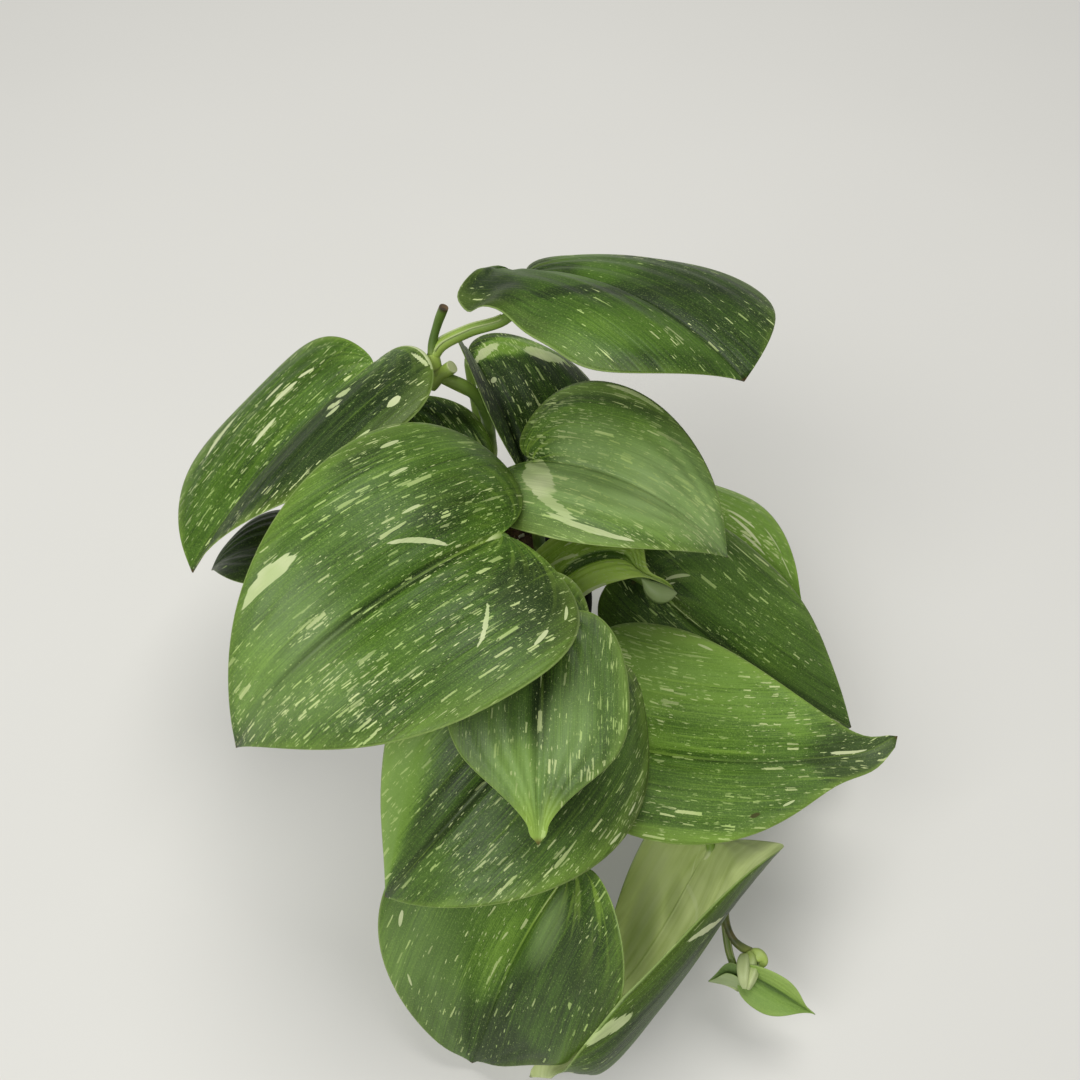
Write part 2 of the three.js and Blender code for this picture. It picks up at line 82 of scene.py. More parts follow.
# Tubes of the bud: points, radius, how squarish, and spots of colour.
BUD_TUBES = [
    ([(101.4, -113.4, 33), (100.5, -116.5, 34.4), (100, -120.5, 34.8), (100.2, -124, 33)], 2.4, 0.14,
     [(0.7, 0.6, 0.1, 0, 0.55), (0, 0.08, 0.9, 0.2, 0)]),
    ([(104.4, -117, 33.2), (103.2, -119.5, 34.6), (102, -122, 34.4), (101.2, -124.2, 32.8)], 1.7, 0.14,
     [(0.6, 0.8, 0.1, 0, 0.6)]),
    ([(103, -112.4, 33), (103.2, -114.6, 34), (103, -117, 34.2), (102.4, -119, 33.4)], 1.9, 0.1,
     [(0.1, 0.4, 0.8, 0.1, 0), (0.8, 0.3, 0.2, 0, 0.3)]),
    ([(103.6, -112.2, 32.8), (105.8, -113.2, 33.8), (107.3, -115, 33.3), (106.4, -117, 32.3)], 2.1, 0.2,
     [(0.6, 0.8, 1, 0, 0.1), (0, 0.12, 0, 0.7, 0)]),
]

POT = Values(height=85, base=36, rim=50, band=10, step=1.6, wall=1.4, floor=1.6, lip=0.8,
             edge=1.2, soft=0.3, core=6, sides=128)
DRAIN = Values(holes=6, radius=4, circle=24)
SOIL = Values(top=74, lumps=1.6, crumbs=0.35, gap=0.3, rings=46, sides=120)

# Chips of bark and perlite on the soil, by the number of their material in soil_fine.
BARK, PERLITE = 1, 2
CHIPS = Values(count=420, bark_share=0.75, size=(0.8, 2.6), perlite_size=0.6, flatness=0.55,
               uneven=(0.75, 1.15))
CHIP_CORNERS = [(-1, -0.7, -0.6), (0.8, -1, -0.5), (1, 0.8, -0.6), (-0.7, 1, -0.5),
                (-0.8, -0.6, 0.6), (0.6, -0.8, 0.8), (0.8, 0.7, 0.5), (-0.6, 0.8, 0.7)]


def lerp(a, b, share):
    return a + (b - a) * share


def smooth(low, high, x):
    t = np.clip((np.asarray(x, float) - low) / (high - low), 0, 1)
    return t * t * (3 - 2 * t)


# Nodes are the shares of a vine's length where it swells. Spots colour it as in paint, and a branch is a
# radius, points and spots.
Vine = namedtuple("Vine", "radius nodes points thinning spots branches", defaults=(0, (), ()))
VINES = {
    "vine_back": Vine(
        2.3, [0.55, 0.97],
        [(7, 24, 54), (8, 30, 78), (12, 46, 100), (12, 55, 115), (9, 57, 127), (4, 57, 134), (-2, 58, 137),
         (-6, 59.5, 140.5), (-7, 62.5, 144.5)],
        spots=[(1, 0.12, 0.9, 0, 0)],
        branches=[
            (1.6, [(-6.8, 60, 142), (-6.6, 64, 148), (-4.4, 67, 155), (-1.8, 67.5, 162)],
             [(0, 0.2, 0.6, 0, 0), (1, 0.05, 0, 1, 0)]),
            (2.3, [(-8, 57, 134), (-4.8, 58, 138), (0.3, 58, 143)],
             [(0.5, 0.8, 0.8, 0, 0), (1, 0.03, 0, 0.1, 0.9)]),
        ]),
    "vine_centre": Vine(2.4, [0.72, 0.98], [(14, -6, 54), (15, -6, 76), (17, -5, 90), (20, -3, 102)]),
    "vine_trailing": Vine(
        2.2, [0.28, 0.42, 0.55, 0.9, 0.99],
        [(16, -12, 54), (20, -17, 76), (32, -30, 89), (42, -40, 90.5), (54, -50, 83), (66, -58, 73),
         (78, -66, 57), (90, -77, 43), (96, -90, 38), (95, -101, 36.5), (97.6, -108, 34),
         (101, -110.7, 32.6), (103.8, -111.7, 31.6)],
        thinning=0.5,
        spots=[(1, 0.008, 0, 0.9, 0), (0.95, 0.06, 0, 0.75, 0)]),
    "vine_right": Vine(2.3, [0.55, 0.75, 0.98], [(30, 8, 54), (31, 11, 76), (31, 16, 90), (30, 20, 100)]),
    "vine_left": Vine(2.2, [0.75, 0.98], [(-12, 10, 54), (-13, 10, 76), (-13, 12, 88), (-11, 14, 95)]),
}


# Degrees: headings, pitches and rolls at the base and the tip, slopes at the midrib and the margin.
Leaf = namedtuple("Leaf", "base length taper heading pitch roll left right petiole")
Half = namedtuple("Half", "width lobe widest inner outer")
Stalk = namedtuple("Stalk", "vine at via girth")
LEAVES = {
    "leaf_01": Leaf((19, -16, 146), 118, 0.32, (-136, -158), (27, -67), (-8, -11),
        Half(49, 0.05, 0.23, 13, 8), Half(53, 0.32, 0.04, 22, -20),
        Stalk("vine_centre", 0.97, [(21, -8, 124)], 1)),
    "leaf_02": Leaf((28, 81, 165), 91, 1.5, (-29, -53), (25, -15), (-26, -13),
        Half(44, 0.16, 0.32, 13, -15), Half(45, 0.2, 0.23, 21, -24),
        Stalk("vine_back", 0.99, [(-4, 64, 147), (6, 66, 152), (20, 68, 157)], 1.1)),
    "leaf_03": Leaf((-30, 71, 131), 100, 0.84, (-134, -116), (-4, -16), (15, 25),
        Half(48, 0.16, 0.19, 40, -26), Half(47, 0.05, 0.24, 18, -31),
        Stalk("vine_back", 0.8, [(-15, 68, 132)], 1)),
    "leaf_04": Leaf((-47, 9, 104), 51, 0.36, (173, 181), (8, -58), (10, 3), Half(20, 0.3, 0.26, 17, -18),
        Half(20, 0.3, 0.27, 16, -33), Stalk("vine_left", 0.95, [(-28, 12, 98)], 0.8)),
    "leaf_05": Leaf((-2, 32, 116), 48, 0.3, (120, 127), (12, -26), (-3, -6), Half(21, 0.3, 0.29, 15, -20),
        Half(21, 0.29, 0.3, 18, -17), Stalk("vine_left", 0.8, [(-6, 20, 100)], 0.8)),
    "leaf_06": Leaf((4, 84, 121), 72, 0.24, (-63, -69), (8, -46), (-18, 0), Half(42, 0.3, 0.29, 17, -18),
        Half(20, 0.1, 0.26, 66, 35), Stalk("vine_back", 0.3, [(8, 62, 100)], 1)),
    "leaf_07": Leaf((29, 27, 129), 81, 0.39, (-24, -22), (27, -55), (-2, 1), Half(38, 0.22, 0.15, 17, -6),
        Half(34, 0.28, 0.2, 19, -11), Stalk("vine_right", 0.95, [(29, 23, 114)], 1)),
    "leaf_08": Leaf((37, -7, 102), 49, 0.26, (43, -46), (31, -39), (-4, -3), Half(16, 0.31, 0.26, 30, -20),
        Half(11, 0.29, 0.29, 29, -60), Stalk("vine_centre", 0.7, [(28, -13, 97)], 0.8)),
    "leaf_09": Leaf((80, 6, 71), 90, 0.59, (-36, -12), (-20, -34), (2, 1), Half(43, 0.32, 0.17, 24, -21),
        Half(37, 0.35, 0.26, 19, -15), Stalk("vine_right", 0.75, [(46, 13, 91), (66, 9, 84)], 1)),
    "leaf_10": Leaf((84, 50, 66), 67, 0.25, (-17, -36), (-6, -40), (-3, 10), Half(30, 0.3, 0.32, 17, -45),
        Half(30, 0.3, 0.29, 15, -20), Stalk("vine_right", 0.55, [(42, 30, 90), (64, 42, 80)], 0.9)),
    "leaf_11": Leaf((53, -58, 86), 106, 0.21, (-5, 14), (-23, 0), (0, 4), Half(48, 0.24, 0.22, 22, -12),
        Half(32, 0.24, 0.19, 20, -14), Stalk("vine_trailing", 0.42, [(47, -49, 85)], 1)),
    "leaf_12": Leaf((32, -50, 138), 59, 0.35, (-94, -89), (-11, -38), (-2, -1),
        Half(27, 0.29, 0.33, 13, -19), Half(28, 0.3, 0.31, 15, -19),
        Stalk("vine_centre", 0.6, [(14, -17, 118), (17, -26, 140.5), (25, -36, 139.5)], 0.9)),
    "leaf_13": Leaf((42, -50, 117), 98, 0.45, (-123, -153), (8, -60), (-35, 8),
        Half(45, 0.37, 0.18, 5, -20), Half(42, 0.32, 0.23, 18, -22),
        Stalk("vine_trailing", 0.28, [(42, -38, 104)], 1)),
    "leaf_14": Leaf((39, -100, 76), 92, 0.49, (-138, -110), (-44, -61), (11, -7),
        Half(44, 0.25, 0.33, 28, -18), Half(50, 0.29, 0.4, 16, 2),
        Stalk("vine_trailing", 0.52, [(56, -70, 68), (47, -88, 69)], 1)),
    "leaf_15": Leaf((90, -81, 48), 102, 0.29, (-117, -151), (-9, -43), (158, 185),
        Half(26, 0.15, 0.05, -11, -23), Half(61, 0.14, 0.44, -33, -158),
        Stalk("vine_trailing", 0.62, [(84, -72, 57)], 1)),
    "leaflet_left": Leaf((98.9, -122.6, 27.6), 10.5, 0.5, (166, 172), (8, 0), (0, 0),
        Half(7.5, 0.08, 0.45, 96, 112), Half(9, 0.08, 0.4, 62, 40),
        Stalk("vine_trailing", 0.9, [(96.2, -111, 31.6), (98, -117.8, 30)], 0.75)),
    "leaflet_right": Leaf((104.1, -119.1, 29.7), 24.4, 0.18, (-26, -31), (-10, -18), (29, 29),
        Half(9, 0.29, 0.26, 67, 27), Half(9.6, 0.28, 0.26, 34, 2),
        Stalk("vine_trailing", 0.995, [(105.2, -114.6, 30.4)], 0.6)),
}


# Node trees. Colours in them are red, green and blue from 0 to 255, as on a screen.

def linear(part):
    part /= 255
    return part / 12.92 if part <= 0.04045 else ((part + 0.055) / 1.055) ** 2.4


def operation(kind):
    return lambda self, other: self.nodes.math(kind, self, other)


class Value:
    """A socket of a node tree. Sums, differences, products and shares of it become math nodes."""

    def __init__(self, nodes, socket):
        self.nodes, self.socket = nodes, socket

    __add__ = __radd__ = operation("ADD")
    __sub__, __mul__, __truediv__ = map(operation, ("SUBTRACT", "MULTIPLY", "DIVIDE"))

    def step(self, low, high):
        """Smoothly from 0 at low to 1 at high."""
        node = self.nodes.add("MapRange", interpolation_type="SMOOTHSTEP")
        return self.nodes.fill(node, (self, low, high))


class Nodes:
    """A short way to write a material's node tree."""

    def __init__(self, name):
        self.material = bpy.data.materials.new(name)
        self.material.use_nodes = True
        self.tree = self.material.node_tree
        self.tree.nodes.clear()
        self.shader = self.add("BsdfPrincipled")
        output = self.add("OutputMaterial")
        self.tree.links.new(self.shader.outputs[0], output.inputs[0])

    def add(self, kind, **settings):
        node = self.tree.nodes.new("ShaderNode" + kind)
        for key, value in settings.items():
            setattr(node, key, value)
        return node

    def put(self, value, socket):
        if isinstance(value, Value):
            self.tree.links.new(value.socket, socket)
        elif isinstance(value, tuple):
            socket.default_value = (*map(linear, value), 1)
        else:
            socket.default_value = value

    def fill(self, node, values, output=0):
        """Puts the values into the node's inputs in turn, and gives its output."""
        for key, value in values.items() if isinstance(values, dict) else enumerate(values):
            self.put(value, node.inputs[key])
        return Value(self, node.outputs[output])

    def math(self, kind, *values):
        return self.fill(self.add("Math", operation=kind), values)

    def mix(self, share, a, b):
        return self.fill(self.add("Mix", data_type="RGBA"), {0: share, 6: a, 7: b}, 2)

    def layered(self, ground, layers):
        """The ground under layers, each of which is a share and a colour."""
        for share, colour in layers:
            ground = self.mix(share, ground, colour)
        return ground

    def most(self, value, *values):
        """The largest of the values."""
        for other in values:
            value = self.math("MAXIMUM", value, other)
        return value

    def point(self, x, y, z=0):
        return self.fill(self.add("CombineXYZ"), (x, y, z))

    def noise(self, place, detail=2, scale=1, rough=0.5):
        values = dict(Vector=place, Scale=scale, Detail=detail, Roughness=rough)
        return self.fill(self.add("TexNoise"), values)

    def grain(self, scale, detail=2, rough=0.5):
        """Noise in the object's own coordinates, which are metres."""
        return self.noise(self.fill(self.add("TexCoord"), (), "Object"), detail, scale, rough)

    def apart(self, kind, value):
        """The three parts of a colour or a vector."""
        node = self.add(kind)
        self.put(value, node.inputs[0])
        return [Value(self, part) for part in node.outputs]

    def attribute(self, name):
        node = self.add("Attribute", attribute_name=name)
        return self.apart("SeparateXYZ", self.fill(node, (), "Vector"))

    def finish(self, colour, roughness, bump=None, **values):
        """Fills in the shader, where bump is a height, distance and strength, and gives the material."""
        values.update(Base_Color=colour, Roughness=roughness)
        if bump:
            parts = zip(("Height", "Distance", "Strength"), bump)
            values["Normal"] = self.fill(self.add("Bump"), dict(parts))
        self.fill(self.shader, {key.replace("_", " "): value for key, value in values.items()})
        return self.material


# Looks of each leaf. Places are s, from 0 at the base along the veins to 1 at the tip, and v, from 1 at the
# left margin to -1 at the right one. Tones of the left half, the right half and the base go from 0, dark,
# to 1, bright; besides the leaf's own tone they hold painted light and shade, where a half or a leaf lies
# in light or in shadow. The halves meet at v = fold, plus bend before s = turn. The seventh value sets
# blotches of painted greyish sheen. Haze is a pale sheen painted into the colour, grain the contrast of the
# streaks, crease the depth of the midrib's crease and of the shade painted along it, dry the brown share of
# the tip, ridge the size of the ridge under the blade, and drip narrows the tip.
# In the lists s, v and half sizes are hundredths: s, v, half sizes, and the slant of v along s, which a
# patch or spot may leave out. A shade ends with how much it brightens; shades paint light and shade in
# places as well as the leaf's own tone. A cluster ends with how much denser its flecks are, a sheen with how
# much painted haze it adds. Trims narrow one half: its side, s, half length and share. Moves are s, v, half
# sizes and the way in millimetres.
USUAL = dict(haze=0, grain=1, rays=0.3, crease=0.7, rib=0.25, tip=0, dry=0.008, ridge=1, fold=(0, 0, 0.5),
             drip=0, patches=(), clusters=(), shades=(), sheens=(), spots=(), trims=(), moves=(),
             young=False, stalk_brown=0)
Look = namedtuple("Look", ["left", "right", "base", "flecks", "lime", "rim", "bloom", *USUAL],
                  defaults=USUAL.values())


LOOKS = {
    "leaf_01": Look(0.38, 0.45, 0.3, 0.38, 0.4, 0.3, 0.4, crease=1.3, rib=0.5, rays=0.4, haze=0.08,
        sheens=[(82, 0, 16, 90, 0, 0.5)], patches=[(74, -76, 5.5, 7.5, -2.3), (46, -16, 8, 1.4, -1.05),
        (47.5, 53.5, 4, 1.5, 2.4), (51.2, -82, 1.4, 1.6), (50.6, -60, 1.6, 1.2), (48.7, -35, 2, 1),
        (36, 90, 2, 1.2), (44, 83, 2, 1.4)], clusters=[(72, -17, 5, 7, -1.2, 2), (75, 50, 12, 30, 0, 0.8),
        (15, -30, 15, 50, 0, 0.3), (90, -70, 10, 30, 0, 0.4)], shades=[(33, 70, 14, 40, 0, -0.4),
        (40, -30, 10, 20, 0, -0.25), (88, -30, 10, 60, 0, 0.3), (56, -82, 5, 12, 0, -0.2),
        (66, 30, 12, 30, 0, 0.1)]),
    "leaf_02": Look(0.15, 0.28, 0, 0.12, 0.2, 0.2, 0.3, rib=0.1, grain=0.7,
        shades=[(46, 15, 10, 50, 0, 0.3), (65, 0, 13, 20, 5.9, -0.4), (33, 85, 10, 50, 0, 0.5),
        (78, -50, 15, 40, 2.5, 0.3), (38, -85, 12, 25, 0, -0.5)], moves=[(9, -100, 5, 30, 5.6, -1.7, -1.2),
        (17, -100, 5, 30, 5, 2, 1.4), (26, -100, 5, 30, 4.6, 2.3, 1.6), (34, -100, 5, 30, 0, -2.3, -1.6),
        (41, -100, 5, 30, 1.4, -4.4, -3.1), (58, -100, 7, 30, -2, -1.5, -1)]),
    "leaf_03": Look(0.05, 0.42, 0.7, 0.45, 0.5, 0.4, 0.5, fold=(0.2, 0.3, 0.36),
        clusters=[(50, 75, 30, 50, 0, -0.35)], patches=[(29.4, 90, 3.5, 3.5, 1.5), (20, 100, 14, 5),
        (45, 30, 2, 5), (50, 35, 1.5, 5), (60, 85, 5, 2), (50, -40, 5, 2), (62, -25, 5, 2), (66, -75, 6, 4),
        (51, -52, 3, 2), (41, -42, 3, 1.5), (53, 43, 2, 3), (47, 81, 2, 3)]),
    "leaf_04": Look(0, 0, 0, 0.15, 0.1, 0.1, 0.1),
    "leaf_05": Look(0.3, 0.25, 0.3, 0.45, 0.4, 0.3, 0.2),
    "leaf_06": Look(0.1, 0.1, 0.1, 0.35, 0.2, 0.2, 0.2, patches=[(41, 76, 5, 14, 1.5), (23, 30, 5, 22, 3),
        (42, 8, 1.6, 3)], clusters=[(28, 50, 12, 30, 2.2, 1.2)], shades=[(28, 55, 14, 35, 2.2, 1.1)]),
    "leaf_07": Look(0.6, 0.65, 0.35, 0.8, 0.4, 0.5, 0.5, haze=0.3, rays=1,
        sheens=[(80, 10, 22, 80, 0, 1.1), (50, -10, 25, 60, 0, 1.1)], patches=[(33, -32, 14, 14, -1.3),
        (22, -20, 8, 12), (47, -60, 8, 5.5, -1.9), (59, -82, 10, 3.5, -0.7), (57.5, 95, 7, 3)],
        shades=[(30, 10, 20, 25, 0, -0.2), (75, 0, 20, 100, 0, 0.35), (50, 95, 40, 25, 0, -0.5),
        (50, -95, 40, 25, 0, -0.4)]),
    "leaf_08": Look(0.75, 1.3, 0.6, 0.9, 0.8, 0.8, 0, young=True, fold=(0.1, 0, 0.5), rib=0, grain=0.6,
        rays=0.2, patches=[(33, 46, 3.5, 10), (40, 40, 6, 6, -2.5), (50, 60, 4, 3), (42, -94, 12, 7)],
        shades=[(50, 4, 30, 16, 0, -1.1), (45, -60, 20, 35, 0, 0.3)], trims=[(1, 87, 8, 0.55)],
        moves=[(84, 50, 10, 120, -5, -1.5, -1)]),
    "leaf_09": Look(0.42, 0.25, 0.2, 0.22, 0.3, 0.2, 0.5, rib=0.15, haze=0.12,
        clusters=[(20, -10, 12, 40, 0, 0.5)], patches=[(23, 43, 7, 2), (17, 36, 4, 1.2)],
        spots=[(16, -75, 1.6, 3)], moves=[(8, -100, 10, 50, 2, 7, 3), (13, 100, 8, 50, -5, 1.5, 1)]),
    "leaf_10": Look(0.95, 0.9, 0.9, 0.4, 0.8, 0.5, 0.2, haze=0.18, patches=[(60, 30, 10, 2.5, -0.4),
        (67, 20, 7, 2), (56, 42, 7, 2), (72, 57, 6, 1.5), (84, 52, 5, 2)],
        clusters=[(62, 28, 15, 15, 0, 0.8), (80, 50, 12, 15, 0, 0.6)], shades=[(60, 30, 20, 18, 0, 0.35),
        (62, -10, 30, 20, 0, -0.4)]),
    "leaf_11": Look(0.92, 0.5, 0.8, 0.36, 0.7, 0.5, 0.4, crease=1, rib=0.45, haze=0.18,
        patches=[(90, 10, 3.5, 5), (57.5, 90, 1.8, 1.4), (71.9, -80, 1.4, 2)],
        shades=[(93, 0, 12, 200, 0, -0.8), (60, 20, 30, 20, 0, -0.25)], clusters=[(40, 60, 20, 40, 0, 0.5)],
        spots=[(64.4, -78, 1.2, 3)], moves=[(100, 0, 4, 900, 1.5, 3, 1.5), (94, -100, 8, 80, 2, -3.5, -1)]),
    "leaf_12": Look(0.3, 0.4, 0.1, 0.24, 0.4, 0.4, 0.5, drip=0.3, crease=0.4, rib=0.05, tip=0.9, haze=0.3,
        grain=0.8, rays=0.2, dry=0.03, clusters=[(50, 80, 30, 20, 0, 0.5)],
        sheens=[(62, 32, 18, 32, 0, 0.45), (75, -40, 16, 50, 0, 0.4)], shades=[(62, 30, 16, 30, 0, 0.15),
        (36, 60, 12, 30, 0, 0.1), (80, -30, 16, 50, 0, 0.6), (50, 0, 25, 12, 0, -0.25)],
        trims=[(1, 97.5, 2.5, -0.8), (-1, 97.5, 2.5, -0.8)]),
    "leaf_13": Look(0.36, 0.4, 0.2, 0.3, 0.5, 0.4, 0.1, crease=1.2, haze=0.15, rays=0.5,
        clusters=[(75, -80, 20, 25, 0, 0.6), (55, 90, 25, 15, 0, 0.4)], patches=[(50, 93, 1.2, 0.8),
        (56, 95, 1.4, 1)], sheens=[(80, -85, 30, 30, 0, 0.4)], shades=[(80, -80, 30, 40, 0, 0.75),
        (70, -25, 20, 15, 0, -0.2)]),
    "leaf_14": Look(0.22, 0.5, 0.6, 0.14, 0.3, 0.2, 0.1, crease=0.3, rib=0.9, haze=0.1, grain=0.9,
        rays=0.8, sheens=[(36, 20, 16, 14, 0, 0.7), (75, -70, 25, 40, 0, 0.45)], patches=[(58, -83, 2, 1.5),
        (73, -80, 1.5, 1.2)], clusters=[(20, 70, 15, 40, 0, 0.25)], shades=[(38, 12, 20, 14, 0, 0.2),
        (50, -10, 25, 20, 0, 0.3), (85, 0, 12, 200, 0, -0.25)], trims=[(1, 60, 13, 0.17)],
        moves=[(100, 0, 6, 900, 0, 3, 2), (85, 100, 12, 60, 0, 1.8, 1.3)]),
    "leaf_15": Look(0.4, 0.22, 0.3, 0.1, 0.4, 0.2, 0, crease=0.15, rib=0.1, ridge=0.25,
        patches=[(57.5, -97, 4, 3.5, -1.2), (54, -92.5, 2.5, 4, -1.5), (42, -89, 2.2, 2, -2.5),
        (28, -66, 1.2, 1.2), (80, -90, 8, 3)], shades=[(50, -45, 40, 25, 0, 0.3)],
        trims=[(-1, 30, 15, -0.12), (-1, 55, 15, 0.08), (-1, 75, 12, -0.05), (-1, 90, 10, -0.25),
        (1, 64, 8, 0.12), (1, 78, 10, 0.62)], moves=[(30, -50, 20, 40, -5.4, 3.1, 2.2),
        (60, -50, 20, 40, -10.8, -9.7, -6.8), (85, -50, 12, 60, -5, 10.8, 7.5), (84, -65, 8, 25, 2, -4, -6),
        (100, 0, 12, 900, -1, -1.8, -1.3)]),
    "leaflet_left": Look(0.5, 0.1, 0.4, 0, 0.1, 0.2, 1.5, crease=0.2, rib=0, haze=0.5, grain=0.5,
        young=True, stalk_brown=0.4),
    "leaflet_right": Look(0.75, 0.45, 0.6, 0, 0.1, 0.2, 1, crease=0.4, rib=0, haze=0.5, grain=0.5,
        young=True, shades=[(50, 0, 40, 15, 0, -0.4)]),
}
# Dark, middle, light and lime.
GREENS = [(26, 44, 9), (66, 98, 24), (108, 144, 48), (150, 182, 70)]
YOUNG_GREENS = [(58, 86, 22), (118, 150, 52), (166, 196, 88), (194, 214, 116)]
# Shades of leaf_15's underside: a painted highlight on its upper part, painted shadow lower down, and its
# pale ridge.
UNDER_TONE_AND_LIGHT_SHADES = [(50, 55, 8, 30, 0, 0.55), (60, 25, 10, 40, 0, -0.55), (30, 5, 12, 3, -2.9, 0.6),
                (42, 10, 6, 20, 0, -0.25)]


# Attribute "vein" holds s, v and the millimetres across from the midrib.
def flecks(n, along, across, chance, length, width, slant, seed, ends="MANHATTAN"):
    """Slender flecks along the veins: one in some of the cells of a stretched pattern."""
    place = n.point(along / length + seed, (across + along * slant) / width + 0.37 * seed)
    cells = n.add("TexVoronoi", voronoi_dimensions="2D", feature="F1", distance=ends)
    distance = n.fill(cells, dict(Vector=place, Scale=1), "Distance")
    pick, large, strong = n.apart("SeparateColor", Value(n, cells.outputs["Color"]))
    size = 0.1 + large * large * 0.34
    ragged = (n.grain(1300, 1) - 0.5) * 0.22
    inside = (distance + ragged).step(size + 0.03, size - 0.03)
    return inside * n.math("LESS_THAN", pick, chance) * (0.35 + strong * 0.6)


def oval(s, v, spot, low, high):
    """A soft oval place on a leaf, 1 inside."""
    s0, v0, half_s, half_v = (part / 100 for part in spot[:4])
    slant = spot[4] if len(spot) > 4 else 0
    a = (s - s0) / half_s
    b = (v - v0 - (s - s0) * slant) / half_v
    return (a * a + b * b).step(high, low)


def ovals(total, s, v, spots, low=0):
    """The total, with each spot's last value added inside its oval."""
    for *spot, amount in spots:
        total = total + oval(s, v, spot, low, 1.6) * amount
    return total


# Layers of flecks: length and width of a cell in millimetres, slant, share of the cells, a shift, and
# whether their ends are blunt or pointed.
FLECKS = [(8, 1.5, 0, 0.1, 3.1, "CHEBYCHEV"), (4.4, 0.85, 0.06, 0.36, 7.7, "CHEBYCHEV"),
          (2.6, 0.55, -0.05, 0.42, 11.3, "MANHATTAN"), (16, 1.1, 0, 0.12, 17.9, "MANHATTAN"),
          (0.9, 0.45, 0, 0.1, 23.5, "MANHATTAN")]


def leaf_top(name, leaf, look, seed):
    n = Nodes(name + "_top")
    s, v, across = n.attribute("vein")
    along = s * (1.15 * leaf.length)
    edge, distance = n.math("ABSOLUTE", v), n.math("ABSOLUTE", across)

    def streaks(length, width, detail, shift):
        return n.noise(n.point(along / length, across / width, seed + shift), detail)

    broad, medium, fine = streaks(70, 4.5, 2, 0), streaks(45, 1.1, 3, 5), streaks(16, 0.3, 2, 9)
    cloud, mottle = n.grain(38, 3), n.grain(1500)
    # Noise that spreads the painted sheen below.
    sheen_noise = (broad + n.grain(60, 4, 0.6)) * 0.5

    def green_ground():
        dark, middle, light, lime = YOUNG_GREENS if look.young else GREENS
        fold, bend, turn = look.fold
        border = fold + s.step(turn + 0.08, turn - 0.08) * bend
        tone = look.right + (v - border).step(-0.05, 0.05) * (look.left - look.right)
        tone = tone - s.step(0.35, 0.02) * (tone - look.base)
        # Shades: painted light and shade in places, and the leaf's own tone.
        tone = ovals(tone, s, v, look.shades)
        for noise, share in ((broad, 0.4), (medium, 0.45), (fine, 1), (cloud, 0.45), (mottle, 0.6)):
            tone = tone + (noise - 0.5) * (share * look.grain)
        # Painted shade along the midrib's crease.
        painted_valley_shade = distance.step(2.6, 0.6) * s.step(0.1, 0.5)
        tone = tone - painted_valley_shade * (0.3 * look.crease)
        streaked = medium.step(0.56, 0.75) * (0.5 * look.lime)
        rim = (edge + broad * 0.4).step(0.95, 1.25) * (0.8 * look.rim)
        tip = (s - painted_valley_shade * 0.06).step(0.78, 0.95) * look.tip
        spread = n.noise(n.point(v * 14, s * 3, seed + 31), 1)
        rays = spread.step(0.5, 0.62) * s.step(0.5, 0.1) * (0.6 * look.rays)
        rib = distance.step(0.5, 0.2) * s.step(0.9, 0.1) * look.rib
        return n.layered(dark, [(tone.step(0, 0.55), middle), (tone.step(0.45, 1), light),
                                (n.most(streaked, tip, rim), lime), (rays, lime), (rib, lime)])

    # A pale sheen painted into the colour for the lamps' reflection: mostly towards the margins and the tip,
    # and in the sheens' places.
    def haze():
        spread = look.haze
        if not look.young:
            spread = n.most(edge.step(0, 0.5), s.step(0.5, 0.85)) * s.step(0.08, 0.5) * spread
        return (0.2 + sheen_noise * 0.6) * ovals(spread, s, v, look.sheens)

    def marks():
        density = ovals(look.flecks - 0.8 + n.grain(30) * 1.6, s, v, look.clusters, 0.2)
        return n.most(*(flecks(n, along, across, density * share, length, width, slant, seed + shift, ends)
                        for length, width, slant, share, shift, ends in FLECKS))

    def patches():
        uneven = n.noise(n.point(across / 1.1, along / 9, seed), 3)
        inside = [0]
        for spot in look.patches:
            ragged = 0.05 if spot[3] > 3 else 0.012
            inside.append(oval(s + (uneven - 0.5) * ragged, v, spot, 0.92, 1.08) * 0.88)
        return n.most(*inside)

    # Blotches of painted greyish sheen; where they lie, the surface is also rougher.
    bloom = sheen_noise.step(0.35, 0.65) * look.bloom
    specks = n.grain(2300, 1).step(0.58, 0.72) * 0.22
    cloudy = cloud.step(0.4, 0.6)
    thin = edge.step(0.982, 0.996) * 0.5
    end = s.step(1 - look.dry, 1 - 0.2 * look.dry) * 0.8
    colour = n.layered(green_ground(), [
        # Blotches of painted greyish sheen.
        (bloom * 0.26, (100, 132, 70)),
        # The pale painted sheen.
        (haze(), (156, 184, 118)),
        (specks, (168, 194, 106)),
        (marks(), n.mix(cloudy, (200, 212, 150), (176, 200, 120))),
        (patches(), n.mix(cloudy, (208, 216, 168), (186, 202, 142))),
        *((oval(s, v, spot, 0.4, 1.2), (70, 74, 34)) for spot in look.spots),
        (thin, (160, 184, 106)),
        (end, (96, 72, 36)),
    ])
    height = broad * 0.8 + medium * 0.4 + fine * 0.12 + n.grain(320, 3) * 0.1
    return n.finish(colour, 0.34 + fine * 0.12 + bloom * 0.2, (height, 0.0008, 0.6), Specular_IOR_Level=0.24)


